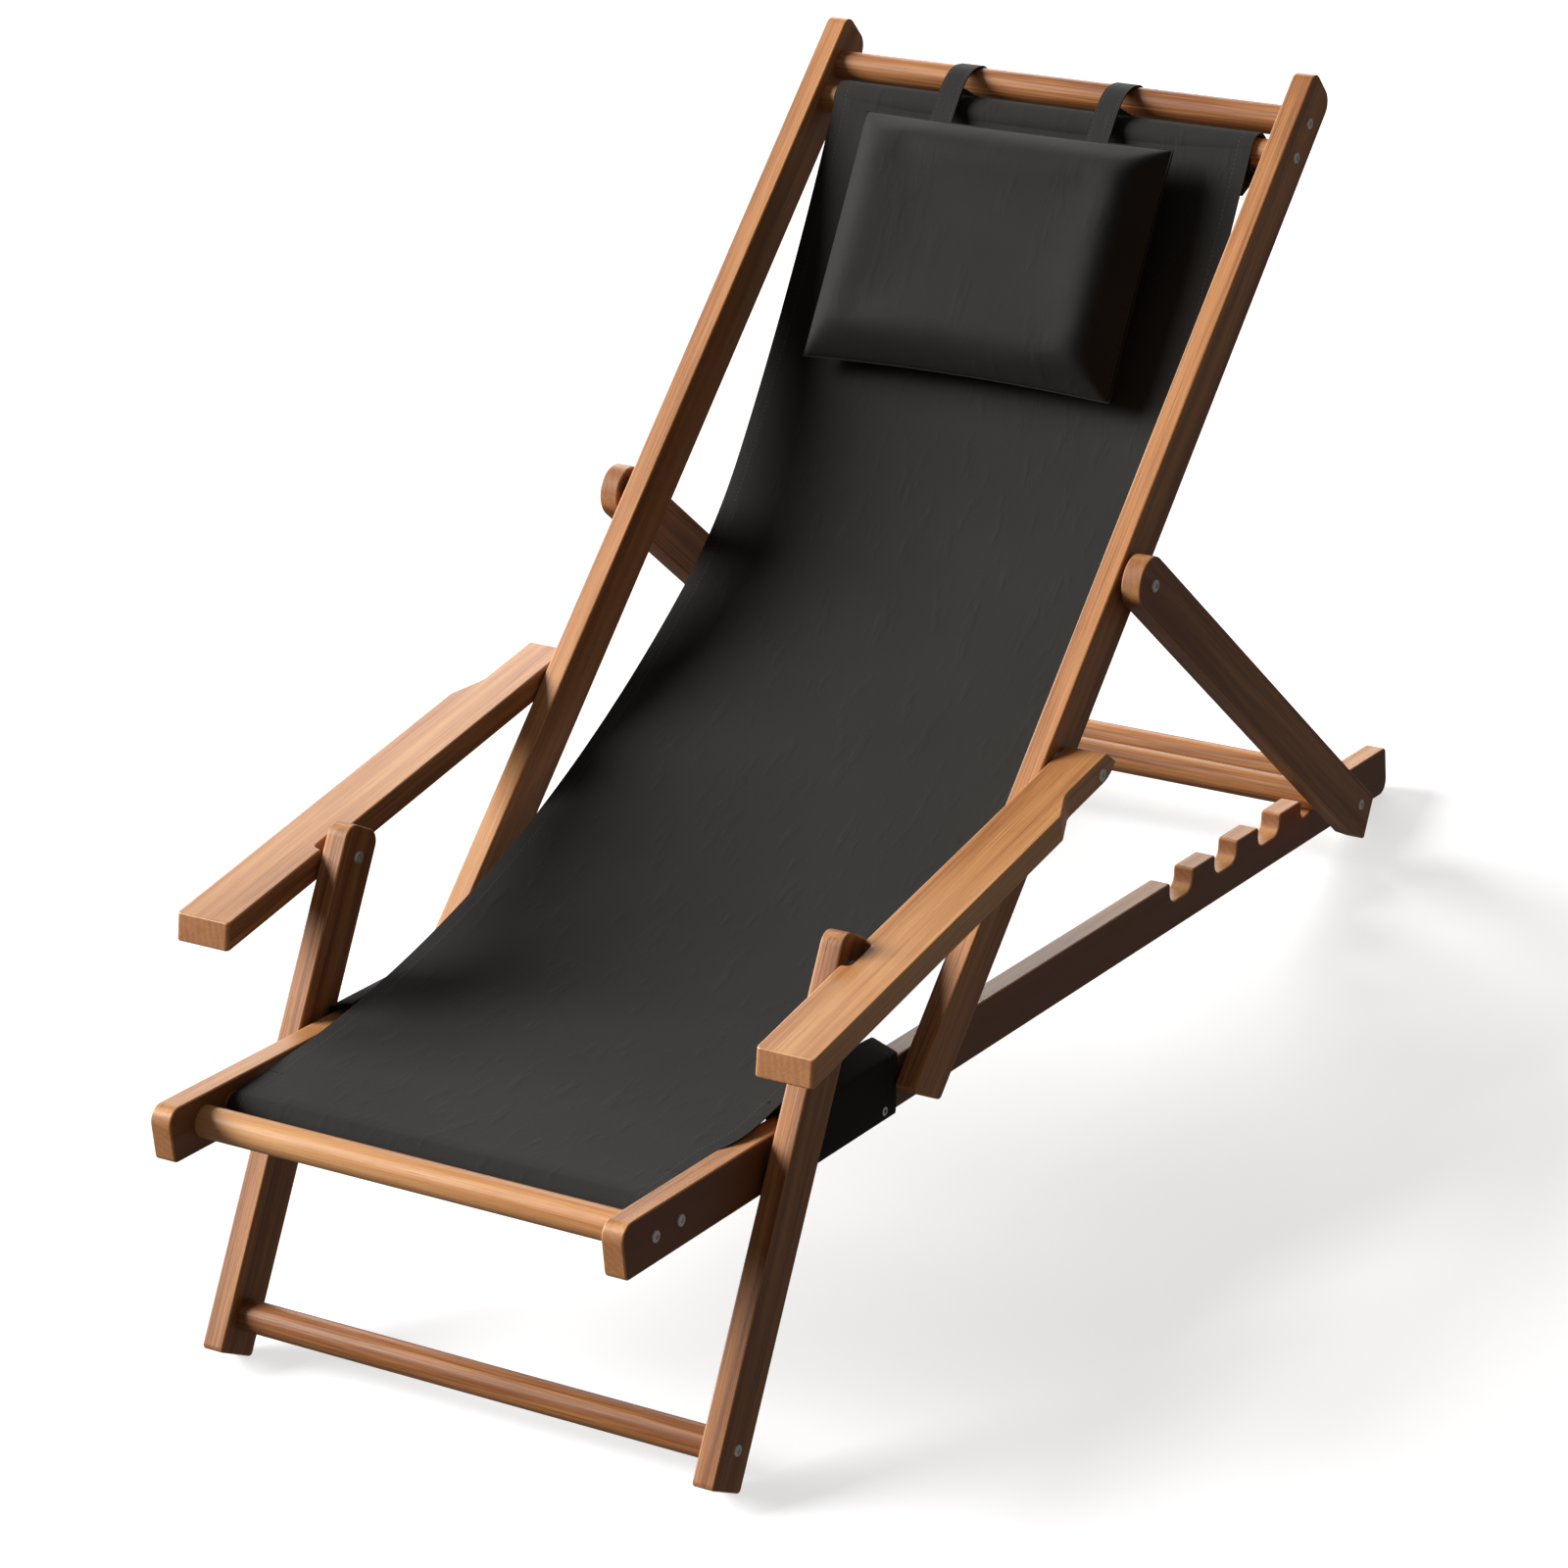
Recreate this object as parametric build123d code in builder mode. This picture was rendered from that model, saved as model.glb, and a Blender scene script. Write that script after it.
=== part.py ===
import os
from math import atan2, cos, degrees, hypot, radians, sin, tan

from build123d import *

# Folding sun lounger: a cloth sling hung in a frame of wooden boards and round bars.
# +X is the sitter's left, -Y the way the sitter faces, +Z up. The origin is on the floor,
# midway between the front ends and the rear ends of the base rails.

# Overall sizes, in mm and degrees
overall_width = 600.0
base_length = 1366.0
board_thickness = 20.0
prop_thickness = 18.5
layer_gap = 5.0
bar_diameter = 27.0
edge_radius = 1.8

# Base rails, sloping down to the rear, where their toes stand on the floor
base_slope = 10.14
base_depth = 46.5
toe_radius = 13.0
nose_radius = 13.0
end_radius = 5.0
front_crossbar_inset = 43.0
front_sling_bar_inset = 79.0
rear_crossbar_inset = 58.0

# Notches in the tops of the base rails for the prop's crossbar
first_notch_share = 0.6797
notch_pitch_share = 0.0659
open_notches = 3
notch_width = 46.0
notch_depth = 20.0
notch_radius = 12.0
notch_lip_radius = 3.0
seat_share = 0.87975
seat_sink = 1.9
seat_room = 13.0
seat_clearance = 0.3
seat_exit_run = 60.0
seat_floor_radius = 60.0
seat_corner_radius = 9.0

# Back frame, pivoted on the base rails
back_tilt = 36.82
back_depth = 47.7
back_pivot_share = 0.3126
arm_bolt_along = 294.8
prop_bolt_along = 474.2
back_length = 981.0
sling_bar_inset = 77.0
top_crossbar_inset = 41.0
back_foot_front = 22.0
back_foot_rear = 6.0
back_top_front_radius = 12.0
back_top_rear_radius = 15.0

# Front legs, pivoted on the base rails
leg_tilt = 54.76
leg_depth = 46.7
leg_pivot_share = 0.1618
leg_link = 159.5
leg_top_overhang = 26.0
leg_top_radius = 13.0
leg_foot_radius = 4.0
leg_crossbar_from_foot = 34.0

# Prop arms, pivoted on the back rails
prop_depth = 47.6
prop_top_overhang = 27.0
prop_end_overhang = 33.6
prop_end_lean = 7.5
prop_cut_length = 31.0
prop_cut_height = 7.0
prop_bar_rise = 6.0
prop_end_radius = 2.5
prop_cut_radius = 14.0
prop_round_share = 0.99

# Armrests
arm_width = 52.4
arm_narrow_width = 39.4
arm_thickness = 23.6
arm_gap = 2.0
arm_lift = 1.5
arm_front_overhang = 157.0
arm_nose_lean = 7.0
arm_rear_overhang = 13.0
arm_heel_start = 17.0
arm_heel_reach = 27.0
arm_heel_height = 9.3
arm_heel_radius = 33.0
arm_taper_start = 95.0
arm_taper_end = 62.0
arm_taper_radius = 30.0
arm_recess_depth = 8.4
arm_recess_front = 18.0
arm_recess_rear = 19.0
arm_recess_front_radius = 5.0
arm_recess_rear_radius = 5.0
arm_recess_mouth_radius = 3.0
arm_corner_radius = 4.0

# Bolts, washers and screws
pivot_bolt_diameter = 8.0
pivot_head_diameter = 11.0
pivot_head_height = 2.2
pivot_clearance = 0.06
washer_diameter = 24.0
washer_end_gap = 0.1
blind_bore_depth = 15.0
bolt_end_gap = 0.5
screw_diameter = 5.0
screw_head_diameter = 10.0
screw_head_height = 2.0
screw_grip = 35.0
screw_clearance = 0.05
wrap_screw_diameter = 3.0
wrap_screw_head_diameter = 8.0
wrap_screw_head_height = 1.6
wrap_screw_length = 12.0
dome_share = 0.6

# Cloth sling, pillow, straps and wraps
cloth_thickness = 2.4
cloth_gap = 0.3
sling_front_room = 4.6
sling_top_room = 16.6
sling_front_dip_share = -0.06
sling_hang_shares = ((0.2556, 0.0223), (0.5075, 0.137), (0.6754, 0.2912), (0.7808, 0.4642))
pillow_width = 308.0
pillow_height = 232.0
pillow_waist = 220.0
pillow_front_crown = 48.0
pillow_rear_crown = 14.0
pillow_seam = 6.0
pillow_x = -5.5
pillow_lean = 2.3
pillow_drop = 19.0
pillow_lift = 1.5
pillow_side_share = 0.12
pillow_shoulder_share = 0.68
pillow_shoulder_fullness_share = 0.78
strap_width = 22.0
strap_thickness = 2.0
strap_spacing_share = 0.52
strap_shift = -10.7
wrap_front_room = 16.0
wrap_rear_room = 19.0
wrap_wall = 1.6
wrap_low_swell = 3.0
wrap_high_swell = 13.0
wrap_screw_room = 43.0
wrap_screw_drop = 17.0

bar_radius = bar_diameter / 2
pivot_radius = pivot_bolt_diameter / 2
screw_radius = screw_diameter / 2
arm_outer_x = overall_width / 2
arm_inner_x = arm_outer_x - arm_width
arm_narrow_x = arm_inner_x + arm_narrow_width
outer_board_end_x = arm_inner_x - arm_gap
outer_board_x = outer_board_end_x - board_thickness
prop_inner_x = outer_board_end_x + layer_gap
prop_outer_x = prop_inner_x + prop_thickness
rail_outer_x = outer_board_x - layer_gap
rail_inner_x = rail_outer_x - board_thickness
front_y = -base_length / 2
rear_y = base_length / 2
sides = (("left", 1), ("right", -1))


def spot(origin, tilt, along, across=0.0):
    """The (y, z) point that lies along a tilted line from its origin, and across it upwards."""
    turn = radians(tilt)
    y = origin[0] + along * cos(turn) - across * sin(turn)
    z = origin[1] + along * sin(turn) + across * cos(turn)
    return (y, z)


def rail_point(y, across=0.0):
    """The (y, z) point on a base rail at the given y, above its centreline."""
    slope = radians(base_slope)
    toe_y = rear_y - toe_radius
    toe_z = toe_radius - toe_radius / cos(slope)
    rise = (base_depth / 2 + across) / cos(slope)
    return (y, toe_z + rise + (toe_y - y) * tan(slope))


def rail_share_y(share):
    """The y that lies the given share of the base rail behind its front end."""
    return front_y + share * base_length


back_pivot = rail_point(rail_share_y(back_pivot_share))
leg_pivot = rail_point(rail_share_y(leg_pivot_share))
arm_leg_bolt = spot(leg_pivot, leg_tilt, leg_link)
arm_back_bolt = spot(back_pivot, back_tilt, arm_bolt_along)
prop_pivot = spot(back_pivot, back_tilt, prop_bolt_along)
prop_bar = rail_point(rail_share_y(seat_share), base_depth / 2 - seat_sink)
sling_bar = spot(back_pivot, back_tilt, back_length - sling_bar_inset)
top_bar = spot(back_pivot, back_tilt, back_length - top_crossbar_inset)
front_bar = rail_point(front_y + front_crossbar_inset)
low_sling_bar = rail_point(front_y + front_sling_bar_inset)
rear_bar = rail_point(rear_y - rear_crossbar_inset)


def between(start, end):
    """The length and the tilt of the line from one (y, z) point to another."""
    run = end[0] - start[0]
    rise = end[1] - start[1]
    return hypot(run, rise), degrees(atan2(rise, run))


arm_length, arm_tilt = between(arm_leg_bolt, arm_back_bolt)
prop_reach, prop_line_tilt = between(prop_pivot, prop_bar)
prop_bar_along = (prop_reach**2 - prop_bar_rise**2) ** 0.5
prop_tilt = prop_line_tilt - degrees(atan2(prop_bar_rise, prop_bar_along))
prop_length = prop_bar_along + prop_end_overhang

leg_sine = sin(radians(leg_tilt))
leg_cosine = cos(radians(leg_tilt))
foot_reach = leg_foot_radius - leg_pivot[1] + (leg_depth / 2 - leg_foot_radius) * leg_cosine
leg_foot_along = foot_reach / leg_sine - leg_foot_radius
leg_bar = spot(leg_pivot, leg_tilt, leg_foot_along + leg_crossbar_from_foot)


def board_start(side, inner, thickness):
    """The lowest x of a board whose inner face is at the given distance from the middle."""
    return inner if side > 0 else -inner - thickness


def bored_board(points, radii, inner, thickness, side, bores, blind_bores=()):
    """One flat board with its corners rounded, its long edges eased and its holes cut.

    Each bore is (centre, radius). Each blind bore is (centre, radius, from_inside).
    """
    start = board_start(side, inner, thickness)
    with BuildPart() as board:
        with BuildSketch(Plane.YZ.offset(start)):
            with BuildLine():
                FilletPolyline(*points, radius=radii, close=True)
            make_face()
        extrude(amount=thickness)
        faces = board.faces().filter_by(Axis.X)
        fillet(faces.edges(), radius=edge_radius)
        for centre, radius in bores:
            with BuildSketch(Plane.YZ.offset(start)):
                with Locations(centre):
                    Circle(radius)
            extrude(amount=thickness, mode=Mode.SUBTRACT)
        for centre, radius, from_inside in blind_bores:
            face_x = side * (inner if from_inside else inner + thickness)
            into = side if from_inside else -side
            with BuildSketch(Plane.YZ.offset(face_x)):
                with Locations(centre):
                    Circle(radius)
            extrude(amount=into * blind_bore_depth, mode=Mode.SUBTRACT)
    return board


def finish(built, name):
    """Label a finished sub-part and write its STEP file."""
    built.part.label = name
    export_step(built.part, f"parts/{name}.step")


def round_bar(name, centre, half_length, screwed=True):
    """A round bar from side to side, with a pilot hole in each end where it is screwed."""
    with BuildPart() as bar:
        with BuildSketch(Plane.YZ.offset(-half_length)):
            with Locations(centre):
                Circle(bar_radius)
        extrude(amount=2 * half_length)
        for end in (1, -1) if screwed else ():
            with BuildSketch(Plane.YZ.offset(end * half_length)):
                with Locations(centre):
                    Circle(screw_radius + screw_clearance)
            extrude(amount=-end * (screw_grip + bolt_end_gap), mode=Mode.SUBTRACT)
    finish(bar, name)


def headed_pins(name, pins):
    """Straight pins with domed heads, one solid each.

    Each pin is (centre, head_x, tip_x, radius, head_radius, head_height), where head_x is
    the face that its head bears on.
    """
    with BuildPart() as group:
        for centre, head_x, tip_x, radius, head_radius, head_height in pins:
            outward = 1 if head_x > tip_x else -1
            with BuildSketch(Plane.YZ.offset(tip_x)):
                with Locations(centre):
                    Circle(radius)
            extrude(amount=head_x - tip_x)
            with BuildSketch(Plane.YZ.offset(head_x)):
                with Locations(centre):
                    Circle(head_radius)
            extrude(amount=outward * head_height)
            rim_point = (head_x + outward * head_height, centre[0] + head_radius, centre[1])
            rim = group.edges().filter_by(GeomType.CIRCLE).sort_by_distance(rim_point)[0]
            fillet(rim, radius=head_height * dome_share)
    finish(group, name)


def rings(name, places):
    """Flat washers, one solid each, as (centre, inner_x, outer_x, side, outer_radius)."""
    with BuildPart() as group:
        for centre, inner, outer, side, radius in places:
            with BuildSketch(Plane.YZ.offset(board_start(side, inner, outer - inner))):
                with Locations(centre):
                    Circle(radius)
                    Circle(pivot_radius + pivot_clearance, mode=Mode.SUBTRACT)
            extrude(amount=outer - inner)
    finish(group, name)


os.makedirs("parts", exist_ok=True)

screw_bore = screw_radius + screw_clearance
pivot_bore = pivot_radius + pivot_clearance
pivot_head_radius = pivot_head_diameter / 2
screw_head_radius = screw_head_diameter / 2

# Base rail outline: along the underside to the rear, then forwards over the notches
top_across = base_depth / 2
rail_outline = [rail_point(front_y, -top_across), rail_point(rear_y, -top_across)]
rail_outline.append(rail_point(rear_y, top_across))
rail_radii = [end_radius, toe_radius, end_radius]

# The rearmost notch holds the prop's crossbar: a front wall, then a floor that climbs
# gently to the rear, so that the bar can leave that way as the back folds down
seat_floor_z = prop_bar[1] - bar_radius - seat_clearance
seat_front_y = prop_bar[0] - bar_radius - seat_room
seat_exit = rail_point(prop_bar[0] + seat_exit_run, top_across)
rail_outline.append(seat_exit)
rail_outline.append((prop_bar[0], seat_floor_z))
rail_outline.append((seat_front_y, seat_floor_z))
rail_outline.append(rail_point(seat_front_y, top_across))
rail_radii += [notch_lip_radius, seat_floor_radius, seat_corner_radius, notch_lip_radius]

for number in reversed(range(open_notches)):
    mouth_share = first_notch_share + number * notch_pitch_share
    mouth = rail_point(rail_share_y(mouth_share), top_across)
    for along, across in (
        (notch_width / 2, 0),
        (notch_width / 2, -notch_depth),
        (-notch_width / 2, -notch_depth),
        (-notch_width / 2, 0),
    ):
        rail_outline.append(spot(mouth, -base_slope, along, across))
    rail_radii += [notch_lip_radius, notch_radius, notch_radius, notch_lip_radius]
rail_outline.append(rail_point(front_y, top_across))
rail_radii.append(nose_radius)

wrap_screw_spot = rail_point(back_pivot[0] - wrap_screw_room, -wrap_screw_drop)
wrap_screw_bore = wrap_screw_diameter / 2 + screw_clearance
for hand, side in sides:
    base_rail = bored_board(
        rail_outline,
        rail_radii,
        rail_inner_x,
        board_thickness,
        side,
        [
            (back_pivot, pivot_bore),
            (leg_pivot, pivot_bore),
            (front_bar, screw_bore),
            (low_sling_bar, screw_bore),
        ],
        [(wrap_screw_spot, wrap_screw_bore, False)],
    )
    finish(base_rail, f"base_rail_{hand}")

round_bar("front_crossbar", front_bar, rail_inner_x)
round_bar("front_sling_bar", low_sling_bar, rail_inner_x)
round_bar("rear_crossbar", rear_bar, rail_inner_x, screwed=False)

# Back frame
back_half = back_depth / 2
back_outline = [
    spot(back_pivot, back_tilt, -back_foot_rear, -back_half),
    spot(back_pivot, back_tilt, back_length, -back_half),
    spot(back_pivot, back_tilt, back_length, back_half),
    spot(back_pivot, back_tilt, -back_foot_front, back_half),
]
back_radii = [end_radius, back_top_rear_radius, back_top_front_radius, end_radius]
for hand, side in sides:
    back_rail = bored_board(
        back_outline,
        back_radii,
        outer_board_x,
        board_thickness,
        side,
        [(sling_bar, screw_bore), (top_bar, screw_bore)],
        [
            (back_pivot, pivot_bore, True),
            (arm_back_bolt, pivot_bore, False),
            (prop_pivot, pivot_bore, False),
        ],
    )
    finish(back_rail, f"back_rail_{hand}")
round_bar("sling_crossbar", sling_bar, outer_board_x)
round_bar("top_crossbar", top_bar, outer_board_x)

# Front legs
leg_half = leg_depth / 2
leg_top_along = leg_link + leg_top_overhang
leg_outline = [
    spot(leg_pivot, leg_tilt, leg_foot_along, -leg_half),
    spot(leg_pivot, leg_tilt, leg_top_along, -leg_half),
    spot(leg_pivot, leg_tilt, leg_top_along, leg_half),
    spot(leg_pivot, leg_tilt, leg_foot_along, leg_half),
]
leg_radii = [leg_foot_radius, leg_top_radius, leg_top_radius, leg_foot_radius]
for hand, side in sides:
    front_leg = bored_board(
        leg_outline,
        leg_radii,
        outer_board_x,
        board_thickness,
        side,
        [(leg_bar, screw_bore), (arm_leg_bolt, pivot_bore)],
        [(leg_pivot, pivot_bore, True)],
    )
    finish(front_leg, f"front_leg_{hand}")
round_bar("leg_crossbar", leg_bar, outer_board_x)

# Prop arms
prop_half = prop_depth / 2
prop_outline = [
    spot(prop_pivot, prop_tilt, -prop_top_overhang, -prop_half),
    spot(prop_pivot, prop_tilt, prop_length - prop_cut_length, -prop_half),
    spot(prop_pivot, prop_tilt, prop_length, prop_cut_height - prop_half),
    spot(prop_pivot, prop_tilt, prop_length - prop_end_lean, prop_half),
    spot(prop_pivot, prop_tilt, -prop_top_overhang, prop_half),
]
round_end = prop_half * prop_round_share
prop_radii = [round_end, prop_cut_radius, prop_end_radius, prop_end_radius, round_end]
for hand, side in sides:
    prop_arm = bored_board(
        prop_outline,
        prop_radii,
        prop_inner_x,
        prop_thickness,
        side,
        [(prop_pivot, pivot_bore), (prop_bar, screw_bore)],
    )
    finish(prop_arm, f"prop_arm_{hand}")
round_bar("prop_crossbar", prop_bar, prop_inner_x)

# Armrests: a plan outline through the thickness, met by a side outline with a leaning nose and
# a heel that curves up, all with eased edges
arm_base = spot(arm_leg_bolt, arm_tilt, 0, arm_lift - arm_thickness / 2)
arm_plane = Plane(
    origin=(0, *arm_base),
    x_dir=(1, 0, 0),
    z_dir=(0, -sin(radians(arm_tilt)), cos(radians(arm_tilt))),
)
arm_front = -arm_front_overhang
arm_rear = arm_length + arm_heel_reach
taper_start = arm_length - arm_taper_start
taper_end = arm_length - arm_taper_end
recess_x = arm_inner_x + arm_recess_depth
arm_plan = [
    (arm_inner_x, arm_front),
    (arm_outer_x, arm_front),
    (arm_outer_x, taper_start),
    (arm_narrow_x, taper_end),
    (arm_narrow_x, arm_rear),
    (arm_inner_x, arm_rear),
    (arm_inner_x, arm_recess_rear),
    (recess_x, arm_recess_rear),
    (recess_x, -arm_recess_front),
    (arm_inner_x, -arm_recess_front),
]
arm_plan_radii = [
    0,
    0,
    arm_corner_radius,
    arm_taper_radius,
    0,
    0,
    arm_recess_mouth_radius,
    arm_recess_rear_radius,
    arm_recess_front_radius,
    arm_recess_mouth_radius,
]
arm_side = [
    spot(arm_base, arm_tilt, arm_front),
    spot(arm_base, arm_tilt, arm_length + arm_heel_start),
    spot(arm_base, arm_tilt, arm_rear, arm_heel_height),
    spot(arm_base, arm_tilt, arm_length + arm_rear_overhang, arm_thickness),
    spot(arm_base, arm_tilt, arm_front + arm_nose_lean, arm_thickness),
]
arm_side_radii = [0, arm_heel_radius, 0, 0, 0]
for hand, side in sides:
    with BuildPart() as armrest:
        with BuildSketch(arm_plane):
            with BuildLine():
                FilletPolyline(*arm_plan, radius=arm_plan_radii, close=True)
            make_face()
        extrude(amount=arm_thickness)
        with BuildSketch(Plane.YZ.offset(arm_inner_x)):
            with BuildLine():
                FilletPolyline(*arm_side, radius=arm_side_radii, close=True)
            make_face()
        extrude(amount=arm_outer_x - arm_inner_x, mode=Mode.INTERSECT)
        nose = armrest.faces().sort_by(Axis.Y)[0]
        fillet(nose.edges().filter_by(Axis.X, reverse=True), radius=arm_corner_radius)
        flats = armrest.faces().sort_by(Axis(arm_plane.origin, arm_plane.z_dir))
        low_rims = flats[0].edges().filter_by(Axis.X, reverse=True)
        fillet(flats[-1].edges() + low_rims, radius=edge_radius)
        with BuildSketch(Plane.YZ.offset(arm_inner_x)):
            with Locations(arm_back_bolt):
                Circle(pivot_bore)
        extrude(amount=arm_outer_x - arm_inner_x, mode=Mode.SUBTRACT)
        if side < 0:
            mirror(about=Plane.YZ, mode=Mode.REPLACE)
    finish(armrest, f"armrest_{hand}")

# Pivot bolts with their washers, and the screws that hold the bars
blind_tip = blind_bore_depth - bolt_end_gap
inner_tip_x = outer_board_x + blind_tip
outer_tip_x = outer_board_end_x - blind_tip
base_pins = []
prop_pins = []
arm_pins = []
leg_pins = []
base_rings = []
prop_rings = []
arm_rings = []
leg_rings = []
washer_radius = washer_diameter / 2
recess_floor_x = recess_x - washer_end_gap
for hand, side in sides:
    pivot_head = (pivot_radius, pivot_head_radius, pivot_head_height)
    for centre in (back_pivot, leg_pivot):
        base_pins.append((centre, side * rail_inner_x, side * inner_tip_x, *pivot_head))
        washer_outer_x = outer_board_x - washer_end_gap
        base_rings.append((centre, rail_outer_x, washer_outer_x, side, washer_radius))
    prop_pins.append((prop_pivot, side * prop_outer_x, side * outer_tip_x, *pivot_head))
    washer_outer_x = prop_inner_x - washer_end_gap
    prop_rings.append((prop_pivot, outer_board_end_x, washer_outer_x, side, washer_radius))
    arm_pins.append((arm_back_bolt, side * arm_narrow_x, side * outer_tip_x, *pivot_head))
    washer_outer_x = arm_inner_x - washer_end_gap
    arm_rings.append((arm_back_bolt, outer_board_end_x, washer_outer_x, side, washer_radius))
    leg_pins.append((arm_leg_bolt, side * outer_board_x, side * recess_floor_x, *pivot_head))
    leg_rings.append((arm_leg_bolt, outer_board_end_x, recess_floor_x, side, pivot_head_radius))

headed_pins("base_pivot_bolts", base_pins)
headed_pins("prop_pivot_bolts", prop_pins)
headed_pins("arm_pivot_bolts", arm_pins)
headed_pins("arm_leg_bolts", leg_pins)
rings("base_pivot_washers", base_rings)
rings("prop_pivot_washers", prop_rings)
rings("arm_pivot_washers", arm_rings)
rings("arm_leg_collars", leg_rings)


def bar_screws(name, centres, board_outer_x, bar_end_x):
    """One screw through the board into each end of every bar given."""
    head = (screw_radius, screw_head_radius, screw_head_height)
    tip_x = bar_end_x - screw_grip
    headed_pins(
        name,
        [
            (centre, side * board_outer_x, side * tip_x, *head)
            for centre in centres
            for hand, side in sides
        ],
    )


bar_screws("base_screws", (front_bar, low_sling_bar), rail_outer_x, rail_inner_x)
bar_screws("back_screws", (sling_bar, top_bar), outer_board_end_x, outer_board_x)
bar_screws("leg_screws", (leg_bar,), outer_board_end_x, outer_board_x)
bar_screws("prop_screws", (prop_bar,), prop_outer_x, prop_inner_x)

# Cloth wraps round the base rails, between the legs and the back
wrap_start = rail_point(leg_pivot[0] + wrap_front_room)
wrap_end = rail_point(back_pivot[0] - wrap_rear_room)
wrap_length = between(wrap_start, wrap_end)[0]
wrap_plane = Plane(
    origin=(0, *wrap_start),
    x_dir=(-1, 0, 0),
    z_dir=(0, cos(radians(base_slope)), -sin(radians(base_slope))),
)
wrap_wall_x = cloth_gap + wrap_wall
wrap_outline = [
    (-rail_inner_x + wrap_wall_x, -top_across - wrap_wall_x),
    (-rail_outer_x - wrap_wall_x, -top_across - wrap_wall_x),
    (-rail_outer_x - wrap_wall_x, top_across + wrap_low_swell),
    (-rail_inner_x + wrap_wall_x, top_across + wrap_high_swell),
]
for hand, side in sides:
    with BuildPart() as wrap:
        with BuildSketch(wrap_plane):
            with BuildLine():
                FilletPolyline(*wrap_outline, radius=edge_radius, close=True)
            make_face()
            with Locations((-(rail_inner_x + rail_outer_x) / 2, 0)):
                Rectangle(
                    board_thickness + 2 * cloth_gap,
                    base_depth + 2 * cloth_gap,
                    mode=Mode.SUBTRACT,
                )
        extrude(amount=wrap_length)
        with BuildSketch(Plane.YZ.offset(rail_outer_x)):
            with Locations(wrap_screw_spot):
                Circle(wrap_screw_bore)
        extrude(amount=layer_gap, mode=Mode.SUBTRACT)
        if side < 0:
            mirror(about=Plane.YZ, mode=Mode.REPLACE)
    finish(wrap, f"rail_wrap_{hand}")

wrap_face_x = rail_outer_x + wrap_wall_x
wrap_head = (wrap_screw_diameter / 2, wrap_screw_head_diameter / 2, wrap_screw_head_height)
headed_pins(
    "wrap_screws",
    [
        (wrap_screw_spot, side * wrap_face_x, side * (wrap_face_x - wrap_screw_length), *wrap_head)
        for hand, side in sides
    ],
)

# Sling: a sleeve round each of its two bars and one cloth between, hung in smooth arcs
sleeve_inner = bar_radius + cloth_gap
sleeve_outer = sleeve_inner + cloth_thickness
sleeve_middle = sleeve_inner + cloth_thickness / 2
sling_start = (low_sling_bar[0], low_sling_bar[1] + sleeve_middle)
sling_run = sling_bar[0] - low_sling_bar[0]
sling_rise = sling_bar[1] - low_sling_bar[1]
sling_points = [
    (low_sling_bar[0] + run_share * sling_run, low_sling_bar[1] + rise_share * sling_rise)
    for run_share, rise_share in sling_hang_shares
]
sling_front_half_width = rail_inner_x - sling_front_room
sling_top_half_width = outer_board_x - sling_top_room
with BuildPart() as sling:
    with BuildSketch(Plane.YZ.offset(-sling_top_half_width)):
        with BuildLine() as hang:
            piece = TangentArc(sling_start, sling_points[0], tangent=(1, sling_front_dip_share))
            for point in sling_points[1:]:
                piece = TangentArc(piece @ 1, point, tangent=piece % 1)
            leave = atan2((piece % 1).Y, (piece % 1).X)
            top_touch = spot(sling_bar, degrees(leave), 0, sleeve_middle)
            TangentArc(piece @ 1, top_touch, tangent=piece % 1)
        trace(line_width=cloth_thickness)
        with Locations(low_sling_bar, sling_bar):
            Circle(sleeve_outer)
            Circle(sleeve_inner, mode=Mode.SUBTRACT)
    extrude(amount=2 * sling_top_half_width)
    widening = (sling_top_half_width - sling_front_half_width) / sling_run
    for side in (1, -1):
        edge_plane = Plane(
            origin=(side * sling_front_half_width, low_sling_bar[0], 0),
            x_dir=(widening * side, 1, 0),
            z_dir=(side, -widening, 0),
        )
        split(bisect_by=edge_plane, keep=Keep.BOTTOM)
finish(sling, "sling")

# Pillow: lens-shaped sections, thin and tall at the sides, drawn in and full at the middle
upper_length, upper_tilt = between(sling_points[-1], top_touch)
pillow_tilt = upper_tilt + pillow_lean
pillow_along = upper_length - pillow_drop - pillow_height / 2
pillow_stand = cloth_thickness / 2 + pillow_lift + pillow_rear_crown + pillow_seam / 2
pillow_middle = spot(sling_points[-1], upper_tilt, pillow_along, pillow_stand)
with BuildPart() as pillow:
    for share, fullness in (
        (-1, pillow_side_share),
        (-pillow_shoulder_share, pillow_shoulder_fullness_share),
        (0, 1),
        (pillow_shoulder_share, pillow_shoulder_fullness_share),
        (1, pillow_side_share),
    ):
        half = (pillow_waist + (pillow_height - pillow_waist) * share**2) / 2
        seam = pillow_seam / 2
        with BuildSketch(Plane.YZ.offset(pillow_x + share * pillow_width / 2)):
            with BuildLine():
                foot_front = spot(pillow_middle, pillow_tilt, -half, seam)
                head_front = spot(pillow_middle, pillow_tilt, half, seam)
                foot_rear = spot(pillow_middle, pillow_tilt, -half, -seam)
                head_rear = spot(pillow_middle, pillow_tilt, half, -seam)
                front_top = spot(pillow_middle, pillow_tilt, 0, seam + pillow_front_crown * fullness)
                rear_top = spot(pillow_middle, pillow_tilt, 0, -seam - pillow_rear_crown * fullness)
                ThreePointArc(foot_front, front_top, head_front)
                Line(head_front, head_rear)
                ThreePointArc(head_rear, rear_top, foot_rear)
                Line(foot_rear, foot_front)
            make_face()
    loft()
finish(pillow, "pillow")

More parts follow.
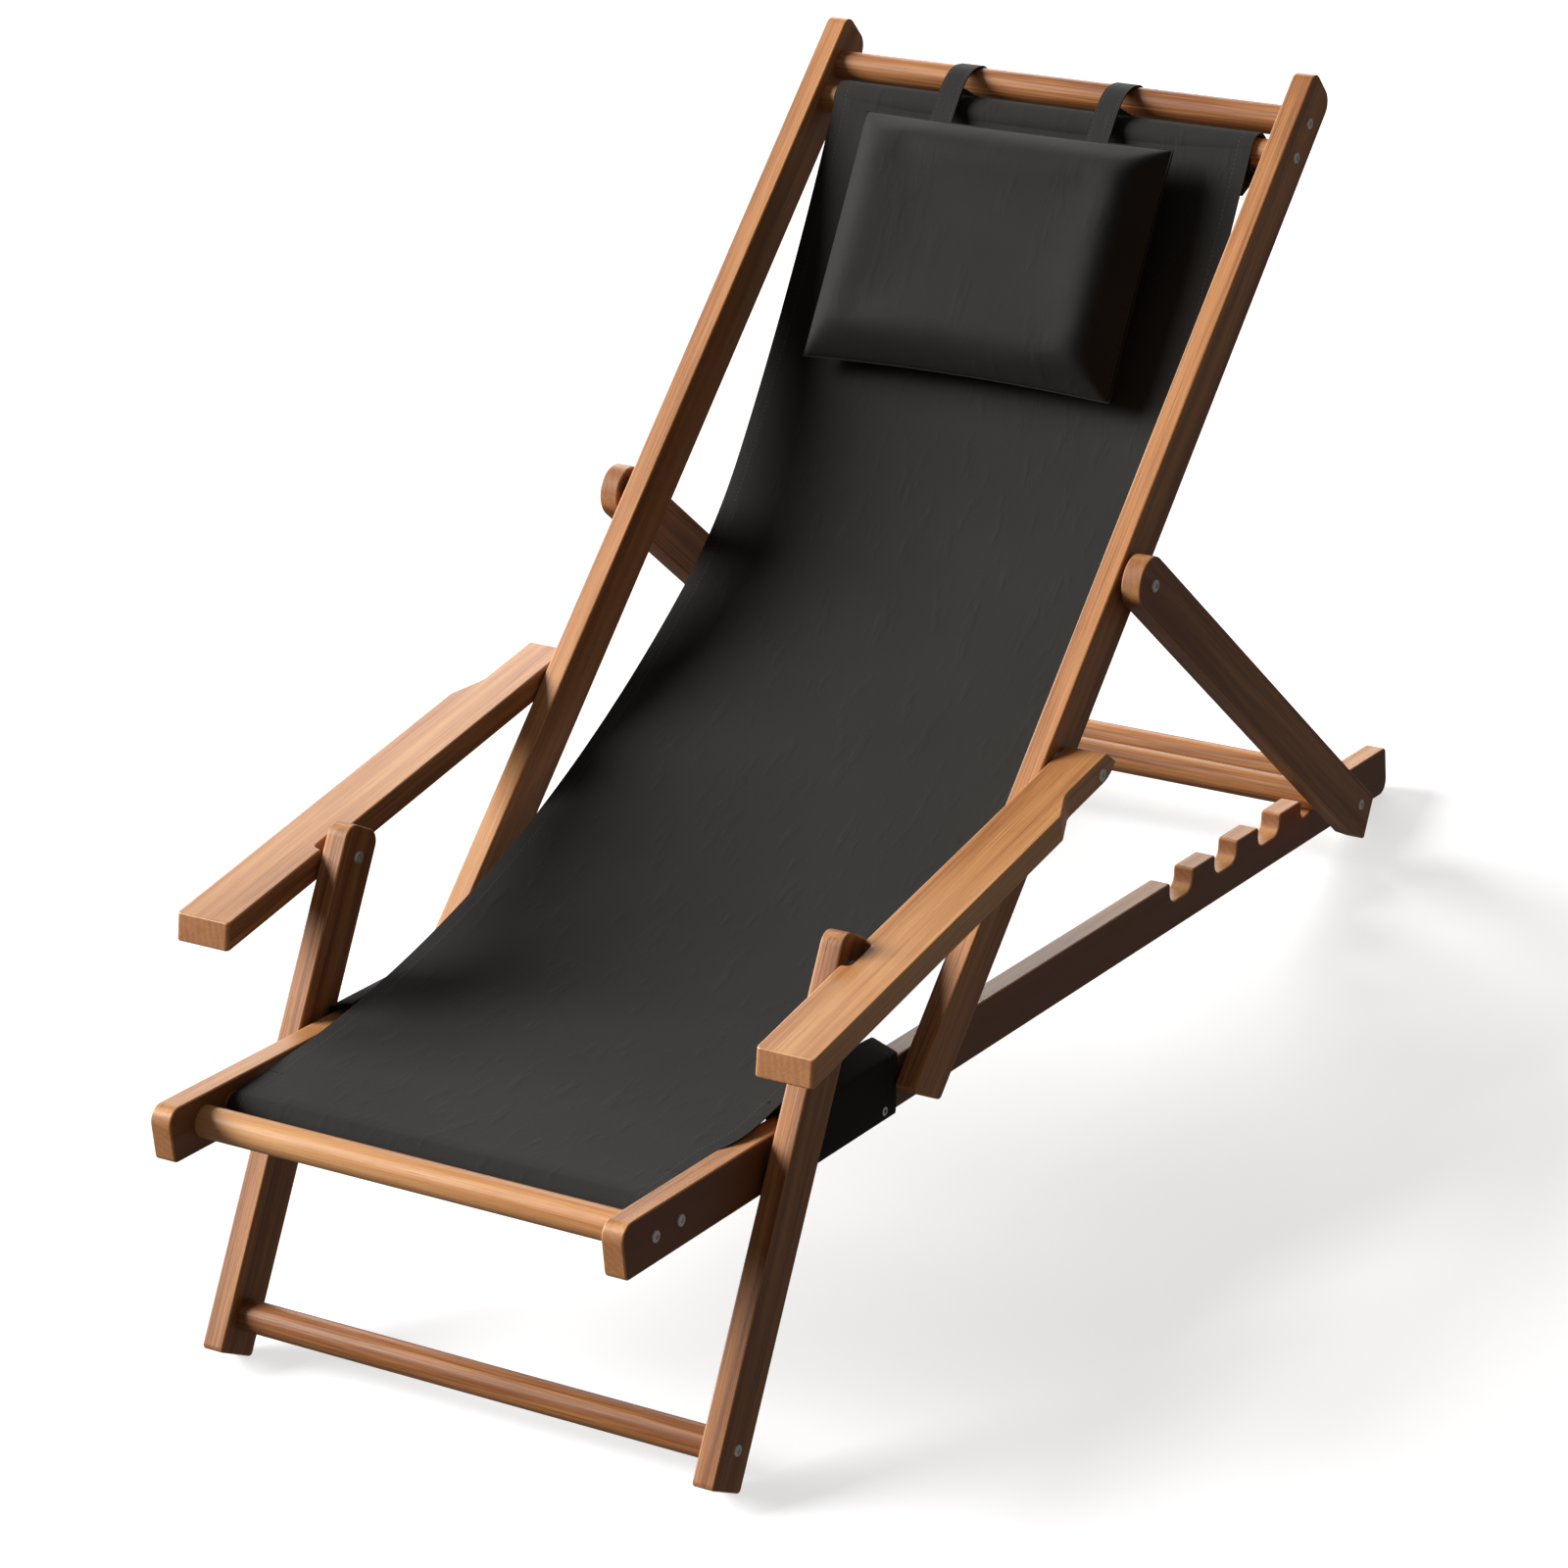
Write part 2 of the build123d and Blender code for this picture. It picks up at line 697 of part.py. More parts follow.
# Pillow straps: a loop round the top crossbar and a tail down to the pillow's upper edge
strap_inner = bar_radius + cloth_gap
strap_outer = strap_inner + strap_thickness
strap_middle = strap_inner + strap_thickness / 2
strap_offset = strap_spacing_share * pillow_width / 2
edge_share = 2 * (strap_offset + abs(strap_shift) + strap_width / 2) / pillow_width
strap_end_half = (pillow_waist + (pillow_height - pillow_waist) * edge_share**2) / 2
strap_end = spot(pillow_middle, pillow_tilt, strap_end_half + strap_thickness / 2)
reach, rise_angle = between(strap_end, top_bar)
lean = degrees(atan2(strap_middle, (reach**2 - strap_middle**2) ** 0.5))
strap_touch = spot(top_bar, rise_angle + lean, 0, strap_middle)
for hand, side in sides:
    strap_x = pillow_x + strap_shift + side * strap_offset
    with BuildPart() as strap:
        with BuildSketch(Plane.YZ.offset(strap_x - strap_width / 2)):
            with BuildLine():
                Line(strap_end, strap_touch)
            trace(line_width=strap_thickness)
            with Locations(top_bar):
                Circle(strap_outer)
                Circle(strap_inner, mode=Mode.SUBTRACT)
        extrude(amount=strap_width)
    finish(strap, f"pillow_strap_{hand}")
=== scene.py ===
# %% [markdown]
# # A folding sun lounger
# The real object is a frame of flat wooden boards and round wooden bars. One long cloth hangs
# between two of the bars, and a small pillow hangs on two straps from the topmost bar.
# The wooden frame is loaded as it was built, because its shapes are already right. What is soft
# or small is modelled here: the sling, the pillow, the straps, the wraps and the bolt heads.
# Everything is in metres. +X is the sitter's left, -Y the way the sitter faces, +Z up.

# %% Load the frame
import math

import bpy
from mathutils import Matrix, Vector


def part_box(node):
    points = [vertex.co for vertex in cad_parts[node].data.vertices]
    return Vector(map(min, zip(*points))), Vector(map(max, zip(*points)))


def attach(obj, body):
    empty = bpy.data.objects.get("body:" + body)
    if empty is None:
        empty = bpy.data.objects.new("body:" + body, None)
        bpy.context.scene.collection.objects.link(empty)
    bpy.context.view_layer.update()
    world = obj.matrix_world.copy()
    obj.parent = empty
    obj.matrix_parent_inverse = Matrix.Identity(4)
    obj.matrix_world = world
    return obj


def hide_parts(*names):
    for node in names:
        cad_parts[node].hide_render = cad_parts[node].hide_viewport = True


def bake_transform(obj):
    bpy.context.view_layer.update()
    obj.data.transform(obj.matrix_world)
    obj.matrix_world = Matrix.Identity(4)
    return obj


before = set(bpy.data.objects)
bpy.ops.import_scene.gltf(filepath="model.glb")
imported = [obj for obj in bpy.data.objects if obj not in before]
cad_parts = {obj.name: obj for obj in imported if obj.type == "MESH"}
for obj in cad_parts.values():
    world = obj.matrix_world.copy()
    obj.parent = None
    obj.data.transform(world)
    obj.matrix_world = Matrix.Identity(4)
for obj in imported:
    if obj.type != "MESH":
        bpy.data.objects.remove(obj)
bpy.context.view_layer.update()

# %% [markdown]
# ## Places read from the frame
# The bars carry the cloth, so their centres and the slopes of the boards are wanted again and
# again. They could be typed in, but reading them from the frame keeps every new piece on what
# carries it. A bar's centre is the middle of its box, seen from the side.

# %% Centres of the bars
bar_radius = 0.0135


def middle(node):
    """The (y, z) point in the middle of a CAD node."""
    low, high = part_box(node)
    return Vector(((low[1] + high[1]) / 2, (low[2] + high[2]) / 2))


low_bar = middle("front_sling_bar")
high_bar = middle("sling_crossbar")
top_bar = middle("top_crossbar")
rail_inner_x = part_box("front_sling_bar")[1][0]
back_inner_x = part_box("sling_crossbar")[1][0]
print("sling bars", tuple(low_bar), tuple(high_bar), "top bar", tuple(top_bar))


# %% [markdown]
# ## Working with one piece at a time
# Blender's operators act on whatever is selected, and the loaded frame is selected already. So
# each step starts by deselecting everything and picking one piece. Small helpers keep that in
# one place, together with the jobs that every finished piece needs.

# %% Selection helpers
def only(piece):
    """Select one piece and nothing else."""
    if bpy.context.object and bpy.context.object.mode != "OBJECT":
        bpy.ops.object.mode_set(mode="OBJECT")
    bpy.ops.object.select_all(action="DESELECT")
    piece.select_set(True)
    bpy.context.view_layer.objects.active = piece


def apply_modifier(piece, kind, **settings):
    """Add a modifier to a piece and apply it at once."""
    only(piece)
    modifier = piece.modifiers.new(kind.title(), kind)
    for name, value in settings.items():
        setattr(modifier, name, value)
    bpy.ops.object.modifier_apply(modifier=modifier.name)


def smooth(piece, degrees=35.0):
    """Shade a piece smooth, with sharp edges kept where faces turn quickly."""
    only(piece)
    bpy.ops.object.shade_smooth_by_angle(angle=math.radians(degrees))


def outward(piece):
    """Point all faces of a piece outwards."""
    only(piece)
    bpy.ops.object.mode_set(mode="EDIT")
    bpy.ops.mesh.select_all(action="SELECT")
    bpy.ops.mesh.remove_doubles(threshold=1e-6)
    bpy.ops.mesh.normals_make_consistent(inside=False)
    bpy.ops.object.mode_set(mode="OBJECT")


def pick(piece, test):
    """Select the faces of a piece whose centre and normal pass a test."""
    only(piece)
    bpy.ops.object.mode_set(mode="EDIT")
    bpy.ops.mesh.select_all(action="DESELECT")
    bpy.ops.mesh.select_mode(type="FACE")
    bpy.ops.object.mode_set(mode="OBJECT")
    for face in piece.data.polygons:
        face.select = test(face)
    bpy.ops.object.mode_set(mode="EDIT")


print("helpers ready")


# %% [markdown]
# ## Shader values as plain arithmetic
# A finish is a small network of nodes. Wired by hand it soon gets hard to follow, so this class
# wraps one socket, and sums and products of wrapped sockets make the Math nodes. Every other
# kind of node goes through one method, with its settings first and its sockets after them.

# %% A socket that can be added and multiplied
class Flow:
    """One value that flows through a material's nodes."""

    def __init__(self, tree, socket=None):
        self.tree = tree
        self.socket = socket

    def node(self, kind, settings=None, sockets=None, output=0):
        """Any node: its type, its settings, what goes into its sockets, and the output used."""
        made = self.tree.nodes.new(kind)
        for name, value in (settings or {}).items():
            setattr(made, name, value)
        for name, value in (sockets or {}).items():
            if isinstance(value, Flow):
                self.tree.links.new(value.socket, made.inputs[name])
            else:
                made.inputs[name].default_value = value
        return Flow(self.tree, made.outputs[output])

    def math(self, operation, first, second=0.0):
        """A Math node."""
        return self.node("ShaderNodeMath", {"operation": operation}, {0: first, 1: second})

    def __add__(self, other):
        return self.math("ADD", self, other)

    def __radd__(self, other):
        return self.math("ADD", other, self)

    def __sub__(self, other):
        return self.math("SUBTRACT", self, other)

    def __rsub__(self, other):
        return self.math("SUBTRACT", other, self)

    def __mul__(self, other):
        return self.math("MULTIPLY", self, other)

    def step(self, low, high):
        """0 below low, 1 above high, and smooth in between."""
        settings = {"interpolation_type": "SMOOTHSTEP"}
        sockets = {"Value": self, "From Min": low, "From Max": high}
        return self.node("ShaderNodeMapRange", settings, sockets)

    def blend(self, dark, light):
        """A colour between two others, with this value as the share of the second."""
        settings = {"data_type": "RGBA", "clamp_factor": True}
        return self.node("ShaderNodeMix", settings, {0: self, 6: dark, 7: light}, output=2)

    def parts(self):
        """The x, y and z of a vector."""
        split = self.node("ShaderNodeSeparateXYZ", None, {"Vector": self})
        sockets = split.socket.node.outputs
        return [Flow(self.tree, sockets[axis]) for axis in range(3)]

    def noise(self, scale, detail=3.0, roughness=0.5):
        """Cloudy noise over a vector, from 0 to 1."""
        sockets = {"Vector": self, "Scale": scale, "Detail": detail, "Roughness": roughness}
        return self.node("ShaderNodeTexNoise", {"normalize": True}, sockets)


print("shader class ready")


# %% [markdown]
# ## How a material starts and ends
# Every finish starts with its even values, which are set on the shader's own sockets. It ends
# by feeding that shader a colour, a roughness and a fine relief. The relief is a bump, since
# weave and grain are far too fine to be modelled.

# %% Start and end of a material
def new_material(name, **uniform):
    """A material, the start of its network and its shader, with the even values set."""
    material = bpy.data.materials.new(name)
    material.use_nodes = True
    tree = material.node_tree
    shader = tree.nodes["Principled BSDF"]
    for socket, value in uniform.items():
        shader.inputs[socket.replace("_", " ")].default_value = value
    return material, Flow(tree), shader


def join_up(flow, shader, colour, roughness, height, strength, distance):
    """Feed a shader its colour, its roughness and its fine relief."""
    tree = flow.tree
    tree.links.new(colour.socket, shader.inputs["Base Color"])
    tree.links.new(roughness.socket, shader.inputs["Roughness"])
    sockets = {"Height": height, "Strength": strength, "Distance": distance}
    bump = flow.node("ShaderNodeBump", None, sockets)
    tree.links.new(bump.socket, shader.inputs["Normal"])


print("material helpers ready")


# %% [markdown]
# ## Oiled wood
# The boards are a warm, straight-grained wood under satin oil. Its fibres run along each board,
# and its cut ends are darker with close rings. An image could carry the grain, but it would
# need unwrapping, so noise is stretched along the board instead. A Mapping node turns the
# pattern until it lies along the board, and moves it, so that no two boards look the same.

# %% Colours of the wood
grain_dark = (0.205, 0.068, 0.020, 1.0)
grain_warm = (0.46, 0.198, 0.068, 1.0)
grain_pale = (0.71, 0.385, 0.17, 1.0)
# Rounded edges: partly rubbed wear, partly a painted highlight.
wear_and_highlight_pale = (0.74, 0.42, 0.20, 1.0)
pore_brown = (0.15, 0.05, 0.018, 1.0)
# Painted shade laid on the flat sides of the boards.
painted_side_shade = (0.125, 0.034, 0.008, 1.0)
cut_dark = (0.20, 0.07, 0.023, 1.0)
cut_warm = (0.42, 0.175, 0.066, 1.0)
thin_oil = 0.10
thick_oil = 0.45
print("wood colours from", grain_dark, "to", grain_pale)


# %% Wood finish
def wood(name, tilt, shift, tone, side_shade_share=0.0, coat=thin_oil, axis="board"):
    """Oiled wood whose grain runs along a board tilted about X, or along a bar on X."""
    uniform = {"Coat_Weight": coat, "Coat_Roughness": 0.3, "Specular_IOR_Level": 0.40}
    material, flow, shader = new_material(name, **uniform)
    place = flow.node("ShaderNodeTexCoord", output=3)
    facing = flow.node("ShaderNodeTexCoord", output=1)
    if axis == "bar":
        turn = (0.0, 0.0, math.radians(90.0))
    else:
        turn = (math.radians(-tilt), 0.0, 0.0)
    sockets = {"Vector": place, "Location": shift, "Rotation": turn}
    laid = flow.node("ShaderNodeMapping", {"vector_type": "POINT"}, sockets)
    sockets = {"Vector": facing, "Rotation": turn}
    faced = flow.node("ShaderNodeMapping", {"vector_type": "VECTOR"}, sockets)

    def stretched(along, across, depth):
        sockets = {"Vector": laid, "Scale": (across, along, depth)}
        return flow.node("ShaderNodeMapping", {"vector_type": "POINT"}, sockets)

    fibres = stretched(9.0, 700.0, 700.0).noise(1.0, 4.0, 0.6)
    streaks = stretched(2.2, 95.0, 95.0).noise(1.0, 3.0, 0.55)
    patches = stretched(1.3, 14.0, 14.0).noise(1.0, 2.0, 0.5)
    pores = stretched(42.0, 1500.0, 1500.0).noise(1.0, 1.0, 0.5).step(0.62, 0.72)
    across, along, depth = (flow.math("ABSOLUTE", part) for part in faced.parts())
    end_face = along.step(0.75, 0.92)
    shaded_side_face = across.step(0.85, 0.97)
    flatness = flow.math("MAXIMUM", flow.math("MAXIMUM", along, across), depth)
    # Rounded board edges are lightened, partly as rubbed wear and partly as a painted highlight;
    # bars get none.
    worn_and_lit_edge = 1.0 - flatness.step(0.80, 0.985)
    wear_and_highlight_share = 0.0 if axis == "bar" else 0.30
    sockets = {"Vector": laid, "Scale": 52.0, "Distortion": 2.0, "Detail": 2.0}
    settings = {"wave_type": "RINGS", "rings_direction": "Y"}
    rings = flow.node("ShaderNodeTexWave", settings, sockets, output=1)
    grain = fibres * 0.42 + streaks * 0.38 + patches * 0.36 - 0.09 + tone
    colour = grain.step(0.37, 0.59).blend(grain_dark, grain_warm)
    colour = (grain.step(0.52, 0.80) * 0.8).blend(colour, grain_pale)
    colour = (worn_and_lit_edge * wear_and_highlight_share).blend(colour, wear_and_highlight_pale)
    colour = (pores * 0.22).blend(colour, pore_brown)
    # Painted shade: the flat sides of a board are darkened by the share given for that board.
    colour = (shaded_side_face * side_shade_share).blend(colour, painted_side_shade)
    cut = (rings * 0.3 + fibres * 0.5 + 0.15).blend(cut_dark, cut_warm)
    colour = (end_face * 0.7).blend(colour, cut)
    roughness = 0.37 + fibres * 0.14 + end_face * 0.16
    height = fibres * 0.6 - pores * 0.5 + streaks * 0.5
    join_up(flow, shader, colour, roughness, height, 0.35, 0.0004)
    return material


print("wood finish ready")

# %% [markdown]
# ## Dressing the boards and bars
# Every board was sawn from its own plank, so each gets its own piece of the pattern and a tone
# that is a touch lighter or darker. The flat sides of the boards are darkened as painted shade,
# most on the base rails and less on the legs and some other boards. The armrests carry more oil
# than the rest and shine more. The tilt of each kind of board is needed for the grain. It could
# be measured from the mesh, but the frame's tilts are known and short to name. Each line below
# holds a tilt, a tone and the share of painted shade on the sides.

# %% Wood on every board and bar
base_tilt, back_tilt, leg_tilt, prop_tilt, arm_tilt = -10.14, 36.82, 54.76, -46.04, 1.565
boards = {
    "base_rail_left": (base_tilt, 0.13, 0.90),
    "base_rail_right": (base_tilt, 0.13, 0.80),
    "back_rail_left": (back_tilt, 0.0, 0.15),
    "back_rail_right": (back_tilt, 0.09, 0.25),
    "front_leg_left": (leg_tilt, 0.02, 0.35),
    "front_leg_right": (leg_tilt, 0.03, 0.20),
    "prop_arm_left": (prop_tilt, -0.02, 0.30),
    "prop_arm_right": (prop_tilt, -0.01, 0.0),
    "armrest_left": (arm_tilt, 0.10, 0.0),
    "armrest_right": (arm_tilt, 0.08, 0.0),
}
bars = {
    "front_crossbar": 0.17,
    "front_sling_bar": 0.0,
    "rear_crossbar": 0.0,
    "sling_crossbar": 0.0,
    "top_crossbar": 0.01,
    "leg_crossbar": -0.06,
    "prop_crossbar": 0.0,
}


def dress(node, material):
    """Give a CAD node one material."""
    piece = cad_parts[node]
    piece.data.materials.clear()
    piece.data.materials.append(material)


for number, (node, (tilt, tone, side_shade_share)) in enumerate(boards.items()):
    shift = (0.31 * number, 0.57 * number, 0.13)
    coat = thick_oil if node.startswith("armrest") else thin_oil
    dress(node, wood(f"wood_{node}", tilt, shift, tone, side_shade_share, coat))
for number, (node, tone) in enumerate(bars.items()):
    shift = (0.23 * number, 0.41 * number, 0.37)
    dress(node, wood(f"wood_{node}", 0.0, shift, tone, axis="bar"))
print("wood on", len(boards) + len(bars), "nodes")


# %% [markdown]
# ## Steel
# The bolts, screws and washers are bright zinc-plated steel. Plating is never even: it has
# small cloudy patches and fine scratches from handling. Both come from noise, one coarse and
# one fine. The clouds change the colour a little, and both change the roughness.

# %% Steel finish
def steel():
    """Bright plated steel with faint clouds and scratches."""
    material, flow, shader = new_material("plated_steel", Metallic=0.7)
    place = flow.node("ShaderNodeTexCoord", output=3)
    clouds = place.noise(260.0, 2.0)
    scratches = place.noise(2400.0, 2.0, 0.7)
    colour = clouds.step(0.3, 0.7).blend((0.70, 0.71, 0.72, 1.0), (0.85, 0.85, 0.85, 1.0))
    roughness = 0.22 + clouds * 0.14 + scratches * 0.08
    join_up(flow, shader, colour, roughness, scratches, 0.2, 0.0001)
    return material


steel_finish = steel()
for node in ("base_pivot_washers", "prop_pivot_washers", "arm_pivot_washers", "arm_leg_collars"):
    dress(node, steel_finish)
print("steel on the washers and collars")

# %% [markdown]
# ## Bolt heads
# Each bolt has a low round head with a six-sided recess for a key. The frame carries only plain
# domes, so one real head is modelled and copied to each place. A cylinder is the start: its rim
# is bevelled, its top is inset and the inset is pushed in as the recess.

# %% Round head
head_sides = 24
rim_share = 0.45
flat_share = 0.22
funnel_share = 0.10


def round_head(head_radius, head_height):
    """A flat cylinder on +X, its rim bevelled and its top inset twice for the key."""
    bpy.ops.object.select_all(action="DESELECT")
    bpy.ops.mesh.primitive_cylinder_add(
        vertices=head_sides,
        radius=head_radius,
        depth=head_height,
        location=(head_height / 2, 0.0, 0.0),
        rotation=(0.0, math.radians(90.0), 0.0),
    )
    piece = bpy.context.object
    bpy.ops.object.transform_apply(location=True, rotation=True, scale=True)
    pick(piece, lambda face: face.normal.x > 0.9)
    bpy.ops.mesh.bevel(offset=head_height * rim_share, segments=3, affect="EDGES")
    bpy.ops.object.mode_set(mode="OBJECT")
    pick(piece, lambda face: face.normal.x > 0.99 and len(face.vertices) == head_sides)
    bpy.ops.mesh.inset(thickness=head_radius * flat_share)
    bpy.ops.mesh.inset(thickness=head_radius * funnel_share)
    bpy.ops.object.mode_set(mode="OBJECT")
    return piece


print("a head has", head_sides, "sides")

# %% Recess and shank
key_share = 0.42
recess_share = 0.6
recess_sides = 6


def six_sided(piece, key_reach):
    """Move the corners of the selected face onto a six-sided outline."""
    half_turn = math.pi / recess_sides
    for face in piece.data.polygons:
        if not face.select:
            continue
        for index in face.vertices:
            corner = piece.data.vertices[index].co
            angle = math.atan2(corner.z, corner.y)
            off_flat = (angle + half_turn) % (2 * half_turn) - half_turn
            reach = key_reach / math.cos(off_flat)
            corner.y = reach * math.cos(angle)
            corner.z = reach * math.sin(angle)


def bolt(head_radius, head_height, shank_radius, length):
    """One bolt on +X: its shank runs from -length to 0, its head from 0 outwards."""
    piece = round_head(head_radius, head_height)
    six_sided(piece, head_radius * key_share)
    bpy.ops.object.mode_set(mode="EDIT")
    bpy.ops.mesh.extrude_region_move(
        TRANSFORM_OT_translate={"value": (-head_height * recess_share, 0.0, 0.0)}
    )
    bpy.ops.object.mode_set(mode="OBJECT")
    pick(piece, lambda face: face.normal.x < -0.9 and face.center.x < 1e-5)
    bpy.ops.mesh.inset(thickness=head_radius - shank_radius)
    bpy.ops.mesh.extrude_region_move(TRANSFORM_OT_translate={"value": (-length, 0.0, 0.0)})
    bpy.ops.object.mode_set(mode="OBJECT")
    return piece


print("bolt model ready")

# %% [markdown]
# ## Copies of one bolt
# All heads of one kind are alike, so the model is copied and each copy is turned to its side.
# Screws never stop at the same angle, so each one is spun a little further than the last.

# %% Copy a bolt
spin_step = 0.7


def bolts(name, node, body, places, sizes, length):
    """Copies of one bolt at (x, y, z) places, heads away from the middle or towards it."""
    first = bolt(*sizes, length)
    copies = []
    for x, (y, z), out in places:
        copy = first.copy()
        copy.data = first.data.copy()
        bpy.context.collection.objects.link(copy)
        turn = Matrix.Identity(4) if out > 0 else Matrix.Rotation(math.pi, 4, "Z")
        spin = Matrix.Rotation(spin_step * len(copies), 4, "X")
        copy.data.transform(Matrix.Translation((x, y, z)) @ turn @ spin)
        copies.append(copy)
    bpy.data.objects.remove(first)
    only(copies[0])
    for copy in copies:
        copy.select_set(True)
    bpy.ops.object.join()
    piece = bpy.context.object
    piece.name = name
    piece.data.materials.clear()
    piece.data.materials.append(steel_finish)
    smooth(piece, 32.0)
    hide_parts(node)
    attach(piece, body)


print("copies spun by", spin_step, "radians each")

# %% [markdown]
# ## Where the bolts go
# Pivot bolts hold two boards together and let them turn. Bar screws go through a board into the
# end of a bar. Their centres are the centres of the loaded nodes' separate rods, and reading
# those from the frame's meshes keeps each new head exactly in its own hole.

# %% Read the rods' places
rod_reach = 0.012


def rods(node):
    """The axis (y, z), inner x and outer x of every separate rod in a CAD node."""
    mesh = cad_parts[node].data
    groups = []
    for vertex in mesh.vertices:
        for group in groups:
            off = vertex.co - group[0]
            near = abs(off.y) < rod_reach and abs(off.z) < rod_reach
            if near and (vertex.co.x > 0) == (group[0].x > 0):
                group.append(vertex.co)
                break
        else:
            groups.append([vertex.co])
    found = []
    for group in groups:
        lows = [min(point[axis] for point in group) for axis in range(3)]
        highs = [max(point[axis] for point in group) for axis in range(3)]
        centre = ((lows[1] + highs[1]) / 2, (lows[2] + highs[2]) / 2)
        found.append((centre, lows[0], highs[0]))
    return found


for node in ("base_pivot_bolts", "base_screws"):
    print(node, len(rods(node)), "rods")

# %% [markdown]
# ## Heads in their places
# A head faces outwards where its bolt comes from outside, and inwards where it comes from
# inside. The sizes are a head's radius and height and a shank's radius.

# %% Put the bolts in
pivot_sizes = (0.0055, 0.0022, 0.004)
screw_sizes = (0.005, 0.002, 0.0025)
small_sizes = (0.004, 0.0016, 0.0015)
bolt_groups = {
    "base_pivot_bolts": ("base", "inside", pivot_sizes),
    "prop_pivot_bolts": ("back", "outside", pivot_sizes),
    "arm_pivot_bolts": ("back", "outside", pivot_sizes),
    "arm_leg_bolts": ("legs", "inside", pivot_sizes),
    "base_screws": ("base", "outside", screw_sizes),
    "back_screws": ("back", "outside", screw_sizes),
    "leg_screws": ("legs", "outside", screw_sizes),
    "prop_screws": ("prop", "outside", screw_sizes),
    "wrap_screws": ("base", "outside", small_sizes),
}
for node, (body, head_side, sizes) in bolt_groups.items():
    head_radius, head_height, shank_radius = sizes
    places = []
    found = rods(node)
    for centre, low_x, high_x in found:
        side = 1 if low_x > 0 else -1
        out = side if head_side == "outside" else -side
        face_x = high_x - head_height if out > 0 else low_x + head_height
        places.append((face_x, centre, out))
    rod_length = found[0][2] - found[0][1] - head_height
    bolts(f"{node}_detailed", node, body, places, sizes, rod_length)
    print(node, len(places))


# %% [markdown]
# ## Woven cloth
# The sling is a tight plain weave, nearly black, with faint creases from being folded. Threads
# that cross are two waves at right angles, measured in metres along the cloth, so the weave
# has its real size. Rows of stitches are drawn in the same map, a fixed distance from a hem.
# UV coordinates hold those distances, because the pattern has to follow the hanging cloth.

# %% Cloth finish for sheets
thread_pitch = 0.0011
stitch_pitch = 0.0042
thread_grey = (0.06, 0.059, 0.056, 1.0)


def crossed_threads(flow, across, along):
    """A plain weave, from 0 to 1."""
    turn = 2 * math.pi / thread_pitch
    return flow.math("SINE", across * turn) * flow.math("SINE", along * turn) * 0.5 + 0.5


def cloth(name, dark, light, hem=0.012, rib=0.0):
    """Woven cloth. The UV map holds metres across from the nearest edge and metres along."""
    uniform = {"Sheen_Weight": 0.06, "Sheen_Roughness": 0.5, "Specular_IOR_Level": 0.25}
    material, flow, shader = new_material(name, **uniform)
    placed = flow.node("ShaderNodeUVMap", {"uv_map": "cloth"})
    across, along = placed.parts()[:2]
    weave = crossed_threads(flow, across, along)
    if rib:
        weave = flow.math("SINE", across * (2 * math.pi / rib)) * 0.5 + 0.5
    place = flow.node("ShaderNodeTexCoord", output=3)
    slub = place.noise(900.0, 2.0, 0.6)
    clouds = place.noise(9.0, 3.0, 0.5)
    sockets = {"Vector": place, "Scale": (70.0, 22.0, 22.0), "Rotation": (0.4, 0.3, 0.5)}
    slanted = flow.node("ShaderNodeMapping", {"vector_type": "POINT"}, sockets)
    creases = slanted.noise(1.0, 3.0, 0.55).step(0.52, 0.74)
    row = 1.0 - flow.math("ABSOLUTE", across - hem).step(0.0003, 0.0009)
    beat = flow.math("SINE", along * (2 * math.pi / stitch_pitch)).step(-0.55, -0.2)
    stitch = row * beat
    shade = clouds * 0.45 + slub * 0.35 + weave * 0.2
    colour = shade.step(0.2, 0.8).blend(dark, light)
    colour = (stitch * 0.3).blend(colour, thread_grey)
    roughness = 0.78 + slub * 0.14
    height = weave * 0.25 + slub * 0.35 + creases * 0.9 + stitch * 1.6 - row * 0.7
    join_up(flow, shader, colour, roughness, height, 0.45, 0.0006)
    return material


sling_dark = (0.0095, 0.0092, 0.0086, 1.0)
sling_light = (0.0172, 0.0167, 0.0155, 1.0)
strap_dark = (0.010, 0.010, 0.0098, 1.0)
strap_light = (0.022, 0.022, 0.0212, 1.0)
wrap_dark = (0.002, 0.002, 0.002, 1.0)
wrap_light = (0.006, 0.006, 0.006, 1.0)
sling_finish = cloth("sling_cloth_charcoal", sling_dark, sling_light)
strap_finish = cloth("strap_webbing_black", strap_dark, strap_light, hem=0.0028, rib=0.0022)
wrap_finish = cloth("wrap_cloth_black", wrap_dark, wrap_light)
print("cloth finishes ready")

# %% [markdown]
# ## Laying a grid along a path
# A hung cloth is flat across and curved along, so it can be made by bending a flat grid. The
# grid primitive has even rows and columns. Each row is moved to a point of a path seen from the
# side, and each column to a place across, with room for a hem that folds under the edge.

